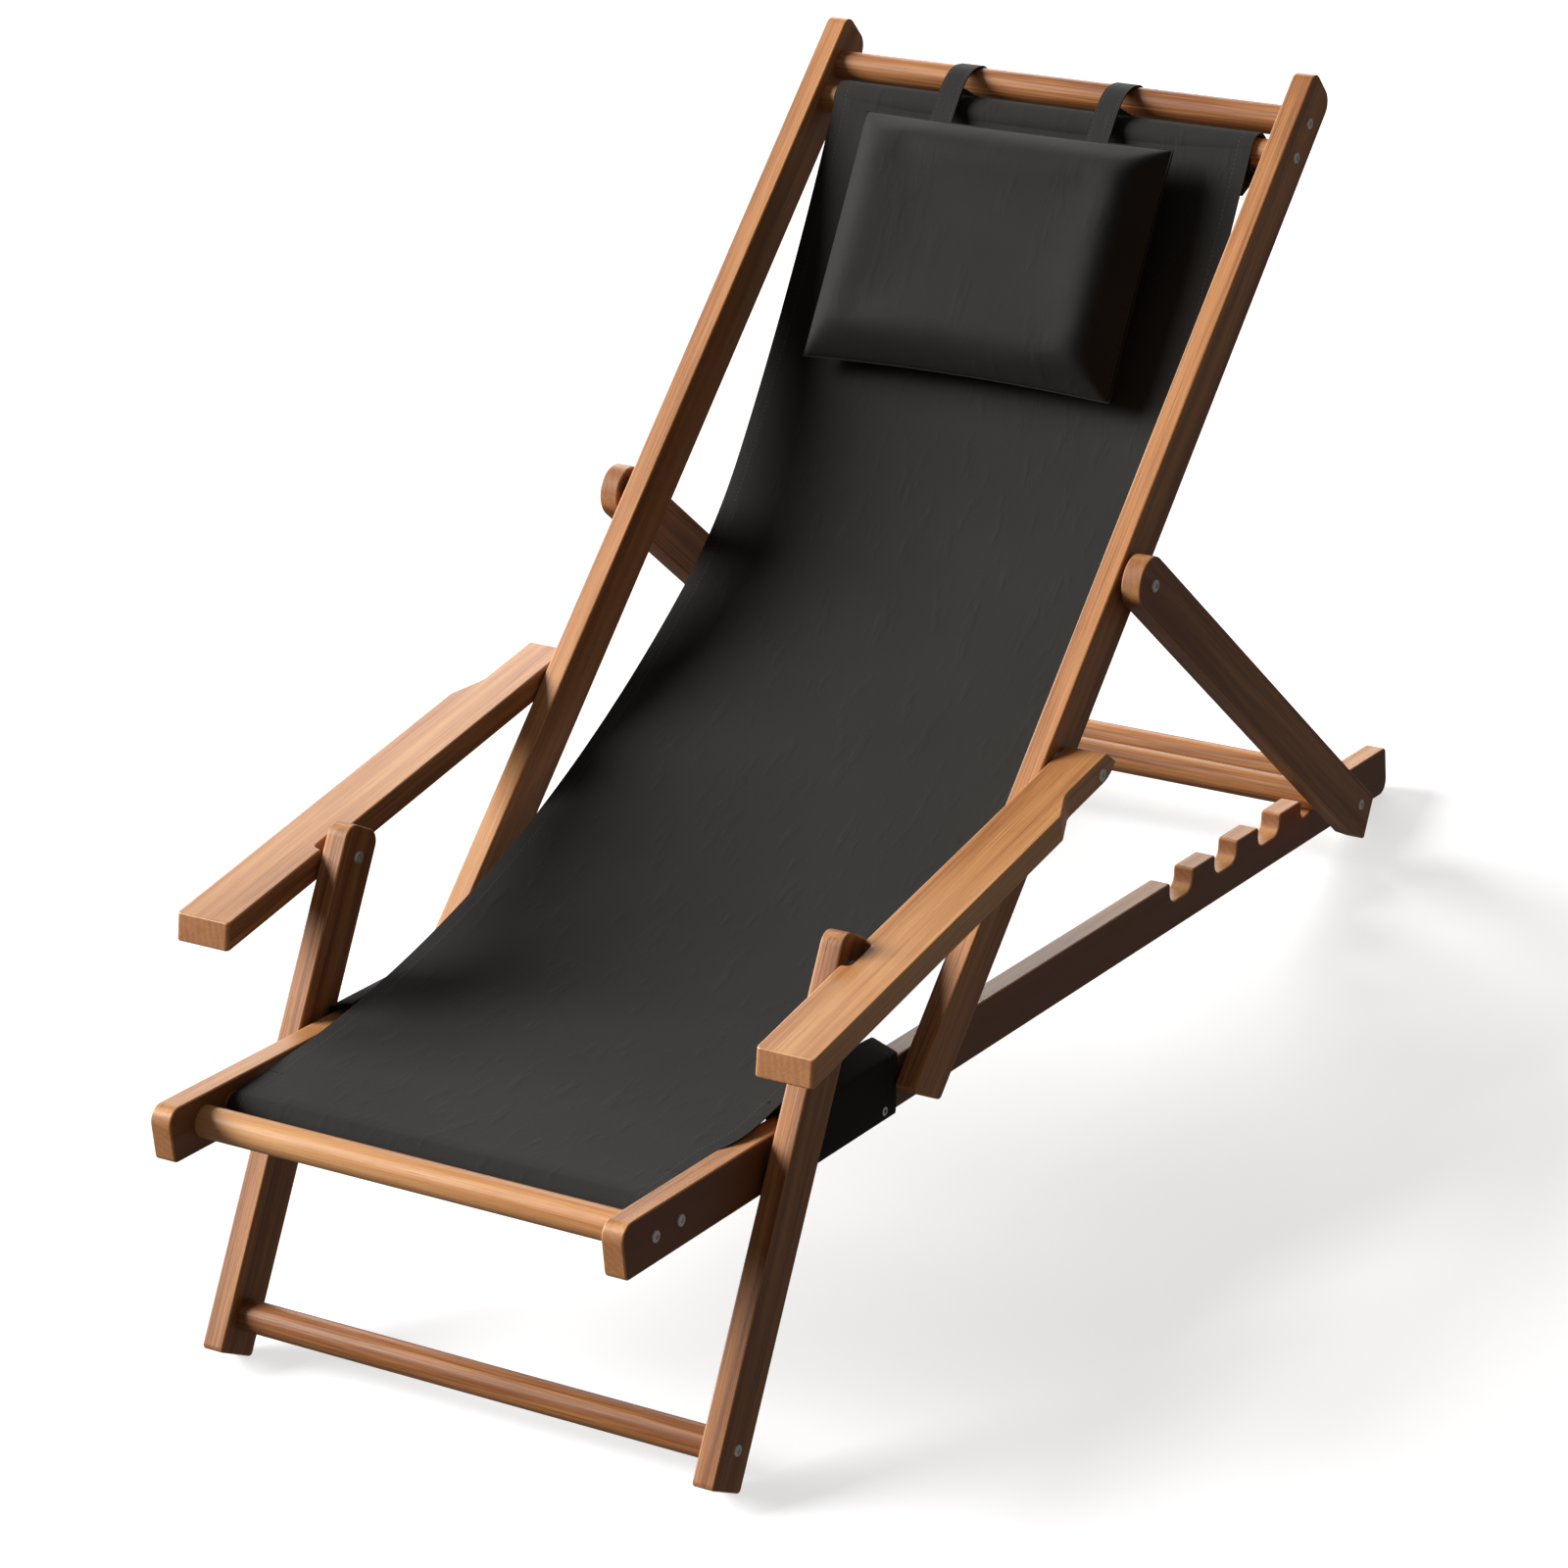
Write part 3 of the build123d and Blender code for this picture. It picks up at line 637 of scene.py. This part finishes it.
# %% Paths made of arcs and straight runs
def arc_to(points, end, heading, pieces):
    """Go on along an arc that leaves in a heading and passes through its end."""
    start = points[-1]
    side = Vector((-heading.y, heading.x))
    chord = end - start
    bend = 2 * chord.dot(side) / chord.length_squared
    if abs(bend) < 1e-6:
        for step in range(1, pieces + 1):
            points.append(start + chord * (step / pieces))
        return heading
    centre = start + side / bend
    radius = abs(1 / bend)
    first = (start - centre).angle_signed(Vector((1.0, 0.0)))
    last = (end - centre).angle_signed(Vector((1.0, 0.0)))
    sweep = (last - first + math.pi) % (2 * math.pi) - math.pi
    for step in range(1, pieces + 1):
        angle = first + sweep * step / pieces
        points.append(centre + radius * Vector((math.cos(angle), math.sin(angle))))
    turned = 1 if sweep > 0 else -1
    return Vector((-math.sin(last), math.cos(last))) * turned


def turn_round(centre, radius, start_angle, end_angle, pieces):
    """Points round a bar, from one angle to another, in radians."""
    points = []
    for step in range(pieces + 1):
        angle = start_angle + (end_angle - start_angle) * step / pieces
        points.append(centre + radius * Vector((math.cos(angle), math.sin(angle))))
    return points


def touch_angle(point, centre, radius, side):
    """The angle at which a straight line from a point touches a circle, on one side of it."""
    away = point - centre
    return math.atan2(away.y, away.x) + side * math.acos(radius / away.length)


print("path helpers ready")


# %% A grid bent along a path
def hung_grid(name, path, columns, place):
    """A grid whose rows follow a path. place gives a column's x, drop and way from the edge."""
    bpy.ops.object.select_all(action="DESELECT")
    across_count = len(columns) - 1
    along_count = len(path) - 1
    bpy.ops.mesh.primitive_grid_add(
        x_subdivisions=across_count, y_subdivisions=along_count, size=1.0
    )
    piece = bpy.context.object
    piece.name = name
    lengths = [0.0]
    for start, end in zip(path[:-1], path[1:]):
        lengths.append(lengths[-1] + (end - start).length)
    uv = piece.data.uv_layers.new(name="cloth")
    where = []
    for vertex in piece.data.vertices:
        column = columns[round((vertex.co.x + 0.5) * across_count)]
        row = round((vertex.co.y + 0.5) * along_count)
        before = path[max(0, row - 1)]
        after = path[min(along_count, row + 1)]
        heading = (after - before).normalized()
        face_up = Vector((-heading.y, heading.x))
        x, drop, from_edge = place(column, lengths[row], lengths[-1])
        spot = path[row] - face_up * drop
        vertex.co = (x, spot.x, spot.y)
        where.append((from_edge, lengths[row]))
    for loop in piece.data.loops:
        uv.data[loop.index].uv = where[loop.vertex_index]
    piece.data.uv_layers["cloth"].active = True
    return piece, lengths[-1]


print("grid helper ready")

# %% [markdown]
# ## The sling
# The sling is one cloth with a sleeve at each end. It leaves the front bar nearly level, dips
# under the sitter, climbs the back and goes over the upper bar. Both ends are turned round
# their bars and sewn to the cloth behind. The path below runs from one sewn end to the other,
# and the side hems fold under by 15 mm.

# %% Run between the bars
low_sleeve_radius = bar_radius + 0.0016
high_sleeve_radius = bar_radius + 0.0040
hang_points = (
    (Vector((-0.3301, 0.2620)), 22),
    (Vector((-0.0601, 0.3170)), 24),
    (Vector((0.1198, 0.3909)), 17),
    (Vector((0.2328, 0.4739)), 13),
)
last_pieces = 28
first_slope = -0.12
hang = [low_bar + Vector((0.0, low_sleeve_radius))]
heading = Vector((1.0, first_slope)).normalized()
for point, pieces in hang_points:
    heading = arc_to(hang, point, heading, pieces)
upper_touch = high_bar + high_sleeve_radius * Vector((-heading.y, heading.x))
heading = arc_to(hang, upper_touch, heading, last_pieces)
print("hanging run of", len(hang), "points")

# %% Sleeves round the bars
sleeve_lap = 0.045
lap_drop = 0.0052
sleeve_pieces = 26
tail_pieces = 5
lap_points = 8
full_turn = 2 * math.pi
low_seam = low_bar + Vector((sleeve_lap, low_sleeve_radius - lap_drop))
low_start = touch_angle(low_seam, low_bar, low_sleeve_radius, -1)
low_end = full_turn / 4 - full_turn
low_sleeve = turn_round(low_bar, low_sleeve_radius, low_start, low_end, sleeve_pieces)
low_tail = [low_seam.lerp(low_sleeve[0], step / tail_pieces) for step in range(tail_pieces)]

touch_spoke = upper_touch - high_bar
high_start = math.atan2(touch_spoke.y, touch_spoke.x)
back_along = (hang[-lap_points] - hang[-1]).normalized()
under = Vector((heading.y, -heading.x))
high_seam = upper_touch + back_along * sleeve_lap + under * lap_drop
high_end = touch_angle(high_seam, high_bar, high_sleeve_radius, 1) - full_turn
high_sleeve = turn_round(high_bar, high_sleeve_radius, high_start, high_end, sleeve_pieces)
high_tail = []
for step in range(1, tail_pieces + 1):
    high_tail.append(high_sleeve[-1].lerp(high_seam, step / tail_pieces))
sling_path = low_tail + low_sleeve[:-1] + hang + high_sleeve[1:] + high_tail
print("sling path points", len(sling_path))

# %% [markdown]
# ## The sling's width
# The cloth starts a little narrower than the gap between the base rails. Where it has risen
# above their tops it spreads over them and sits a touch to one side, and further up it widens
# with the back frame. Its middle sags more than its edges, which are pulled tight.

# %% Widths and columns of the sling
cloth_thickness = 0.0010
hem_width = 0.015
hem_drop = 0.0013
hem_shares = (0.04, 0.35, 0.7, 1.0)
sling_low_half = rail_inner_x - 0.0034
sling_high_half = back_inner_x - 0.0156
sling_over_rail = 0.0045
spread_start = 0.070
spread_length = 0.055
sling_low_shift = 0.0015
sling_seat_shift = 0.0072
sling_high_shift = 0.0
dish = 0.006
wide_pieces = 48
end_length = sleeve_lap + 0.06
low_lap = low_tail + low_sleeve
low_lap_length = sum((after - before).length for before, after in zip(low_lap, low_lap[1:]))
sling_columns = [(-1, share) for share in reversed(hem_shares)]
sling_columns += [(0, -1 + 2 * step / wide_pieces) for step in range(wide_pieces + 1)]
sling_columns += [(1, share) for share in hem_shares]
print("sling columns", len(sling_columns))


# %% Sling mesh
def limited(share):
    """A share kept between 0 and 1."""
    return min(1.0, max(0.0, share))


def sling_place(column, length, whole):
    """Across, drop and distance from the edge for one column of the sling."""
    fold, share = column
    along = limited((length - end_length) / (whole - 2 * end_length))
    over = limited((length - low_lap_length - spread_start) / spread_length)
    over = over * over * (3 - 2 * over)
    half = sling_low_half + sling_over_rail * over
    half += (sling_high_half - sling_low_half - sling_over_rail) * along
    middle_x = sling_low_shift + (sling_seat_shift - sling_low_shift) * over
    middle_x += (sling_high_shift - sling_seat_shift) * along
    if fold:
        x = middle_x + fold * (half - hem_width * share)
        return x, hem_drop, hem_width * share
    bow = 4 * along * (1 - along)
    return middle_x + half * share, dish * bow * (1 - share**2), half * (1 - abs(share))


sling, sling_length = hung_grid("sling_cloth", sling_path, sling_columns, sling_place)
apply_modifier(sling, "SOLIDIFY", thickness=cloth_thickness, offset=0.0)
smooth(sling, 50.0)
sling.data.materials.append(sling_finish)
print("sling length", round(sling_length, 4), "faces", len(sling.data.polygons))

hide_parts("sling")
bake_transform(sling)

# %% [markdown]
# ## The pillow
# The head pillow is a knife-edged cushion: two panels of cloth sewn together all round and
# stuffed, so that it is thin at the seam and full in the middle. A subdivided box gives the
# two panels, each point is lifted into the crown, and then the cloth simulation blows it up a
# little, so that the panels round off as stuffed cloth does.

# %% Pillow frame of reference
pillow_tilt = math.radians(52.31)
pillow_along = Vector((0.0, math.cos(pillow_tilt), math.sin(pillow_tilt)))
pillow_out = Vector((0.0, -math.sin(pillow_tilt), math.cos(pillow_tilt)))
pillow_across = Vector((1.0, 0.0, 0.0))
pillow_centre = Vector((-0.0055, 0.35415, 0.64923))
pillow_half_width = 0.154
pillow_half_height = 0.116
side_waist = 0.0010
head_waist = 0.0022
foot_waist = 0.0045
front_crown = 0.0455
rear_crown = 0.0125
slope_width = 0.046
slope_ease = 0.9
mitre_softness = 6
print("pillow", 2 * pillow_half_width, "by", 2 * pillow_half_height)


def seam_place(u, v):
    """The point at shares u across and v along of the pillow's middle plane."""
    x = u * (pillow_half_width - side_waist * (1 - v * v))
    waist = foot_waist if v < 0 else head_waist
    y = v * (pillow_half_height - waist * (1 - u * u))
    return pillow_centre + pillow_across * x + pillow_along * y


def slope(inner):
    """How high a panel stands at a distance inside its seam, from 0 to 1."""
    return math.sin(min(1.0, inner / slope_width) * math.pi / 2) ** slope_ease


def fullness(u, v):
    """Both slopes together, with a soft mitre where they meet."""
    side = slope((1 - abs(u)) * pillow_half_width)
    end = slope((1 - abs(v)) * pillow_half_height)
    if side * end == 0:
        return 0.0
    return side * end / (side**mitre_softness + end**mitre_softness) ** (1 / mitre_softness)


# %% Pillow panels
panel_cuts = 43
row_ease = 1.25
at_rim = 0.9999
bpy.ops.object.select_all(action="DESELECT")
bpy.ops.mesh.primitive_cube_add(size=2.0)
pillow = bpy.context.object
pillow.name = "head_pillow"
bpy.ops.object.mode_set(mode="EDIT")
bpy.ops.mesh.select_all(action="SELECT")
bpy.ops.mesh.subdivide(number_cuts=panel_cuts)
bpy.ops.object.mode_set(mode="OBJECT")
pick(pillow, lambda face: abs(face.normal.z) < 0.5)
bpy.ops.mesh.delete(type="FACE")
bpy.ops.object.mode_set(mode="OBJECT")


def drawn_out(share):
    """Moves the rows of a panel closer together towards its seam."""
    return math.copysign(1 - (1 - abs(share)) ** row_ease, share)


seam_group = pillow.vertex_groups.new(name="seam")
crown_group = pillow.vertex_groups.new(name="crown")
for vertex in pillow.data.vertices:
    u, v = drawn_out(vertex.co.x), drawn_out(vertex.co.y)
    crown = front_crown if vertex.co.z > 0 else -rear_crown
    if max(abs(u), abs(v)) > at_rim:
        seam_group.add([vertex.index], 1.0, "REPLACE")
    inner = min((1 - abs(u)) * pillow_half_width, (1 - abs(v)) * pillow_half_height)
    crown_group.add([vertex.index], min(1.0, inner / slope_width), "REPLACE")
    vertex.co = seam_place(u, v) + pillow_out * crown * fullness(u, v)
outward(pillow)
print("pillow panels", len(pillow.data.polygons), "faces")

# %% [markdown]
# ## Stuffing the pillow
# A cushion gets its soft look from pressure against cloth that can't stretch much. Blender's
# Cloth does that with its pressure setting. The seam is pinned, gravity is off, and after
# twenty frames each point may have moved by at most the cap, so no fold runs away. Only half
# of the move is kept and the middle is smoothed, since this cushion shows no creases. The side
# that lies on the sling is kept flat afterwards.

# %% Cloth simulation
largest_move = 0.024
kept_move = 0.5
last_frame = 20
stuffing = {
    "quality": 6,
    "mass": 0.25,
    "tension_stiffness": 40.0,
    "compression_stiffness": 40.0,
    "shear_stiffness": 20.0,
    "bending_stiffness": 40.0,
    "use_pressure": True,
    "uniform_pressure_force": 4.0,
    "vertex_group_mass": "seam",
    "pin_stiffness": 1.0,
}
before = [vertex.co.copy() for vertex in pillow.data.vertices]
only(pillow)
settled = pillow.modifiers.new("Stuffing", "CLOTH")
for name, value in stuffing.items():
    setattr(settled.settings, name, value)
settled.settings.effector_weights.gravity = 0.0
settled.collision_settings.use_collision = False
for step in range(1, last_frame + 1):
    bpy.context.scene.frame_set(step)
bpy.ops.object.modifier_apply(modifier=settled.name)
bpy.context.scene.frame_set(1)
for vertex, start in zip(pillow.data.vertices, before):
    move = vertex.co - start
    if move.length > largest_move:
        move *= largest_move / move.length
    vertex.co = start + move * kept_move
apply_modifier(pillow, "SMOOTH", factor=0.5, iterations=6, vertex_group="crown")
print("stuffed")

# %% Flatten the side that rests on the sling
rest_depth = -0.0155
flattened_share = 0.9
for vertex in pillow.data.vertices:
    out = (vertex.co - pillow_centre).dot(pillow_out)
    if out < rest_depth:
        vertex.co += pillow_out * (rest_depth - out) * flattened_share
apply_modifier(pillow, "SUBSURF", levels=1, render_levels=1)
smooth(pillow, 60.0)
heights = [(vertex.co - pillow_centre).dot(pillow_out) for vertex in pillow.data.vertices]
print("pillow from", round(min(heights), 4), "to", round(max(heights), 4))


# %% [markdown]
# ## Pillow cloth
# The pillow has the sling's weave, but it has no map of its own, since its panels were blown
# up. Object coordinates turned into the pillow's plane serve instead: its faces are nearly
# flat, so threads drawn through that plane keep their size on them.

# %% Cloth finish for the pillow
pillow_dark = (0.0088, 0.0085, 0.0080, 1.0)
pillow_light = (0.0165, 0.0160, 0.0150, 1.0)


def stuffed_cloth(name, tilt):
    """Woven cloth laid in a plane that is tilted about X."""
    uniform = {"Sheen_Weight": 0.06, "Sheen_Roughness": 0.45, "Specular_IOR_Level": 0.25}
    material, flow, shader = new_material(name, **uniform)
    place = flow.node("ShaderNodeTexCoord", output=3)
    sockets = {"Vector": place, "Rotation": (-tilt, 0.0, 0.0)}
    laid = flow.node("ShaderNodeMapping", {"vector_type": "POINT"}, sockets)
    across, along = laid.parts()[:2]
    weave = crossed_threads(flow, across, along)
    slub = place.noise(850.0, 2.0, 0.6)
    clouds = place.noise(12.0, 3.0, 0.5)
    sockets = {"Vector": laid, "Scale": (60.0, 16.0, 30.0), "Rotation": (0.0, 0.0, 0.15)}
    drawn = flow.node("ShaderNodeMapping", {"vector_type": "POINT"}, sockets)
    creases = drawn.noise(1.0, 3.0, 0.55).step(0.50, 0.75)
    shade = clouds * 0.45 + slub * 0.35 + weave * 0.2
    colour = shade.step(0.2, 0.8).blend(pillow_dark, pillow_light)
    roughness = 0.74 + slub * 0.16
    height = weave * 0.25 + slub * 0.35 + creases * 0.8
    join_up(flow, shader, colour, roughness, height, 0.4, 0.0006)
    return material


pillow_finish = stuffed_cloth("pillow_cloth_charcoal", pillow_tilt)
pillow.data.materials.append(pillow_finish)
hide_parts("pillow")
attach(pillow, "back")
print("pillow finished")

# %% [markdown]
# ## The pillow's seam
# Where the two panels are sewn together, the folded allowance makes a thin ridge all round. It
# follows the same line as the pillow's rim. Points along that line become a closed curve, the
# curve gets a small round section, and the result is a mesh again.

# %% Seam ridge
seam_radius = 0.0007
rim_steps = 32
rim = []
corners = ((-1, -1), (1, -1), (1, 1), (-1, 1))
for (u0, v0), (u1, v1) in zip(corners, corners[1:] + corners[:1]):
    for step in range(rim_steps):
        share = step / rim_steps
        rim.append(seam_place(u0 + (u1 - u0) * share, v0 + (v1 - v0) * share))
bpy.ops.object.select_all(action="DESELECT")
bpy.ops.curve.primitive_bezier_circle_add(radius=0.1)
seam = bpy.context.object
seam.name = "pillow_seam"
seam.data.splines.clear()
line = seam.data.splines.new("POLY")
line.points.add(len(rim) - 1)
for point, spot in zip(line.points, rim):
    point.co = (*spot, 1.0)
line.use_cyclic_u = True
seam.data.bevel_depth = seam_radius
seam.data.bevel_resolution = 2
only(seam)
bpy.ops.object.convert(target="MESH")
seam = bpy.context.object
outward(seam)
smooth(seam, 80.0)
seam.data.materials.clear()
seam.data.materials.append(pillow_finish)
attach(seam, "back")
print("seam", len(seam.data.polygons), "faces")

# %% [markdown]
# ## The pillow's straps
# Two black webbing straps hold the pillow. Each is sewn to the pillow's rear panel, arches over
# the sling's sleeve, lies on the top bar, goes round it and comes back to be sewn to itself. A
# strap is flat and of even width, so it is a narrow grid on a path, made directly and given its
# thickness. The path is set out in the back's own directions, along the cloth and out of it.

# %% Directions on the back
upper_run_angle = math.radians(50.01)
cloth_along = Vector((math.cos(upper_run_angle), math.sin(upper_run_angle)))
cloth_out = Vector((-cloth_along.y, cloth_along.x))


def on_back(along, out):
    """A point given along the sling's upper run and out of it, from where it meets its bar."""
    return upper_touch + cloth_along * along + cloth_out * out


def back_heading(degrees):
    """A direction given as an angle from the sling's upper run."""
    angle = math.radians(degrees)
    return cloth_along * math.cos(angle) + cloth_out * math.sin(angle)


print("upper run leans", round(math.degrees(upper_run_angle), 2), "degrees")

# %% Strap path
strap_radius = bar_radius + 0.0012
touch_angle_on_bar = math.radians(85.0)
loop_sweep = math.radians(205.0)
loop_pieces = 36
first_dip = -2.0
bar_spoke = Vector((math.cos(touch_angle_on_bar), math.sin(touch_angle_on_bar)))
strap_touch = top_bar + strap_radius * bar_spoke
sewn_to_pillow = on_back(-0.044, 0.0105)
over_sleeve = on_back(0.010, 0.0066)
past_sleeve = on_back(0.026, 0.0026)
strap_run = [sewn_to_pillow]
heading = back_heading(first_dip)
for point, pieces in ((over_sleeve, 14), (past_sleeve, 6), (strap_touch, 10)):
    heading = arc_to(strap_run, point, heading, pieces)
loop_end = touch_angle_on_bar - loop_sweep
strap_loop = turn_round(top_bar, strap_radius, touch_angle_on_bar, loop_end, loop_pieces)
print("strap runs", len(strap_run), "points to its bar and", len(strap_loop), "round it")

# %% Strap's sewn end
way_back_steps = 6
lap_steps = 5
lap_step, lap_rise = 0.003, 0.00012
lap_turn = on_back(0.017, 0.0022)
strap_lap = []
for step in range(1, way_back_steps):
    strap_lap.append(strap_loop[-1].lerp(lap_turn, step / way_back_steps))
strap_lap += [on_back(0.0165, 0.0030), on_back(0.0145, 0.0042)]
for step in range(lap_steps):
    strap_lap.append(on_back(0.010 - lap_step * step, 0.0049 + lap_rise * step))
strap_path = strap_run[:-1] + strap_loop + strap_lap
print("strap path points", len(strap_path))

# %% Strap meshes
strap_width = 0.022
strap_thickness = 0.0014
strap_columns = [-1, -0.9, -0.45, 0.0, 0.45, 0.9, 1]
strap_places = {"left": 0.0670, "right": -0.0910}


def strap_place(column, length, whole):
    """Across, drop and distance from the edge for one column of a strap."""
    return column * strap_width / 2, 0.0, (1 - abs(column)) * strap_width / 2


for hand, strap_x in strap_places.items():
    name = f"pillow_strap_{hand}_webbing"
    strap, strap_length = hung_grid(name, strap_path, strap_columns, strap_place)
    strap.data.transform(Matrix.Translation((strap_x, 0.0, 0.0)))
    apply_modifier(strap, "SOLIDIFY", thickness=strap_thickness, offset=0.0)
    smooth(strap, 45.0)
    strap.data.materials.append(strap_finish)
    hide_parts(f"pillow_strap_{hand}")
    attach(strap, "back")
    print("strap", hand, "length", round(strap_length, 4))

# %% [markdown]
# ## The rail wraps
# A black cloth sleeve is slipped over each base rail, between the leg and the back. It is flat
# where it lies on the board and stands up a little along the inner top edge. A box is the
# start: its ends come off, its walls are divided, and each point is moved out a little more in
# the middle of a wall than at its corners, as slack cloth does.

# %% Shape of a wrap
base_slope = math.radians(base_tilt)
rail_direction = Vector((0.0, math.cos(base_slope), math.sin(base_slope)))
rail_up = Vector((0.0, -math.sin(base_slope), math.cos(base_slope)))
wrap_gap = 0.0013
half_wide = 0.010 + wrap_gap
half_deep = 0.02325 + wrap_gap
side_bulge = 0.0008
top_bulge = 0.0006
ripple = 0.0007
ripple_turns = (5.3, 2.1)
outer_lift = 0.003
inner_lift = 0.009
end_sag = 0.12


def slack_place(u, v, w, side):
    """Across and up from a board's middle, for shares u across, v along and w up."""
    off_ends = 1 - v**4
    wave = math.sin(ripple_turns[0] * v + ripple_turns[1] * w + side)
    slack = ripple * wave * off_ends * (1 - w * w)
    lift = outer_lift + inner_lift * (0.5 - 0.5 * u * side)
    lifted = max(0.0, w) * lift * (1 - end_sag * v**6)
    across = u * (half_wide + side_bulge * ((1 - w * w) * off_ends) + slack)
    return across, w * (half_deep + top_bulge * ((1 - u * u) * off_ends) + slack) + lifted


print("wrap", 2 * half_wide, "by", 2 * half_deep)

# %% Rail wraps
wrap_cuts = 13
wrap_wall = 0.0012
wrap_inset = 0.012
wrap_end_room = 0.004
for hand, side in (("left", 1), ("right", -1)):
    low, high = (Vector(corner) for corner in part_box(f"rail_wrap_{hand}"))
    rail_low, rail_high = (Vector(corner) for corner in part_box(f"base_rail_{hand}"))
    rail_x = (rail_low.x + rail_high.x) / 2
    start_y = low.y + wrap_inset
    end_y = high.y - wrap_inset
    bpy.ops.object.select_all(action="DESELECT")
    bpy.ops.mesh.primitive_cube_add(size=2.0)
    wrap = bpy.context.object
    wrap.name = f"rail_wrap_{hand}_cloth"
    pick(wrap, lambda face: abs(face.normal.y) > 0.9)
    bpy.ops.mesh.delete(type="FACE")
    bpy.ops.mesh.select_all(action="SELECT")
    bpy.ops.mesh.subdivide(number_cuts=wrap_cuts)
    bpy.ops.object.mode_set(mode="OBJECT")
    uv = wrap.data.uv_layers[0]
    uv.name = "cloth"
    centre_y = (start_y + end_y) / 2
    centre_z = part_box("front_sling_bar")[0][2] + bar_radius
    centre_z += (centre_y - low_bar.x) * math.tan(base_slope)
    half_long = (end_y - start_y) / 2 / math.cos(base_slope) + wrap_end_room
    where = []
    for vertex in wrap.data.vertices:
        u, v, w = vertex.co
        x, z = slack_place(u, v, w, side)
        centre = Vector((rail_x + x, centre_y, centre_z))
        vertex.co = centre + rail_direction * (v * half_long) + rail_up * z
        where.append(((1 - abs(v)) * half_long, u * half_wide + w * half_deep))
    for loop in wrap.data.loops:
        uv.data[loop.index].uv = where[loop.vertex_index]
    outward(wrap)
    apply_modifier(wrap, "SOLIDIFY", thickness=wrap_wall, offset=1.0)
    apply_modifier(wrap, "BEVEL", width=0.0016, segments=2, limit_method="ANGLE", angle_limit=0.9)
    smooth(wrap, 50.0)
    wrap.data.materials.append(wrap_finish)
    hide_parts(f"rail_wrap_{hand}")
    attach(wrap, "base")


# %% [markdown]
# ## Floor, light and camera
# The lounger stands on a plain pale floor in soft light from the picture's upper left, so that
# the faces towards its right stay dark. A wide sun lamp gives even soft shadows, a low panel
# behind the lounger gives the dark cloth a little sheen, and a weak sky does the rest. The
# floor glows faintly, which keeps the shadows on it pale, and it throws no light back up. The
# camera stands to the front left of the sitter and looks down.

# %% Floor
bpy.ops.object.select_all(action="DESELECT")
bpy.ops.mesh.primitive_plane_add(size=40.0, location=(0.0, 4.0, 0.0))
floor = bpy.context.object
floor.name = "studio_floor"
floor_settings = {"Specular_IOR_Level": 0.1, "Emission_Strength": 0.62}
floor_material, floor_flow, floor_shader = new_material("pale_floor", **floor_settings)
floor_shader.inputs["Emission Color"].default_value = (1.0, 1.0, 1.0, 1.0)
floor_place = floor_flow.node("ShaderNodeTexCoord", output=3)
floor_tint = floor_place.noise(3.0, 2.0)
floor_dark = (0.50, 0.50, 0.495, 1.0)
floor_light = (0.54, 0.54, 0.535, 1.0)
floor_colour = floor_tint.blend(floor_dark, floor_light)
join_up(floor_flow, floor_shader, floor_colour, 0.72 + floor_tint * 0.1, floor_tint, 0.05, 0.001)
floor.data.materials.append(floor_material)
floor.visible_diffuse = False
floor.visible_glossy = False
print("floor laid")


# %% Key light
def look_at(spot, target):
    """The turn that points a lamp or camera from one spot at another."""
    return (Vector(target) - Vector(spot)).to_track_quat("-Z", "Y").to_euler()


key_place = (-6.0, -2.2, 3.8)
bpy.ops.object.light_add(type="SUN", location=key_place)
key = bpy.context.object
key.name = "key_light"
key.rotation_euler = look_at(key_place, (0.0, 0.0, 0.3))
key.data.energy = 6.6
key.data.angle = math.radians(34.0)
key.data.color = (1.0, 0.975, 0.94)
print("key light at", key_place)

# %% Light behind the lounger and sky
sheen_place = (-2.4, 4.2, 1.9)
bpy.ops.object.light_add(type="AREA", location=sheen_place)
backdrop = bpy.context.object
backdrop.name = "backdrop_light"
backdrop.rotation_euler = look_at(sheen_place, (0.0, 0.0, 0.4))
backdrop.data.shape = "RECTANGLE"
backdrop.data.size = 4.5
backdrop.data.size_y = 1.6
backdrop.data.energy = 110.0

world = bpy.context.scene.world or bpy.data.worlds.new("studio")
bpy.context.scene.world = world
world.use_nodes = True
sky = world.node_tree.nodes["Background"]
sky.inputs["Color"].default_value = (1.0, 0.93, 0.87, 1.0)
sky.inputs["Strength"].default_value = 0.14
bpy.context.scene.view_settings.view_transform = "Standard"
print("lights set")

# %% Camera
camera_place = (2.09224, -3.35419, 2.32408)
camera_degrees = (62.7381, 4.14294, 30.28372)
bpy.ops.object.camera_add(location=camera_place)
camera = bpy.context.object
camera.name = "photo_camera"
camera.rotation_euler = tuple(math.radians(angle) for angle in camera_degrees)
camera.data.lens = 117.66
camera.data.sensor_width = 36.0
bpy.context.scene.camera = camera
print("camera set")
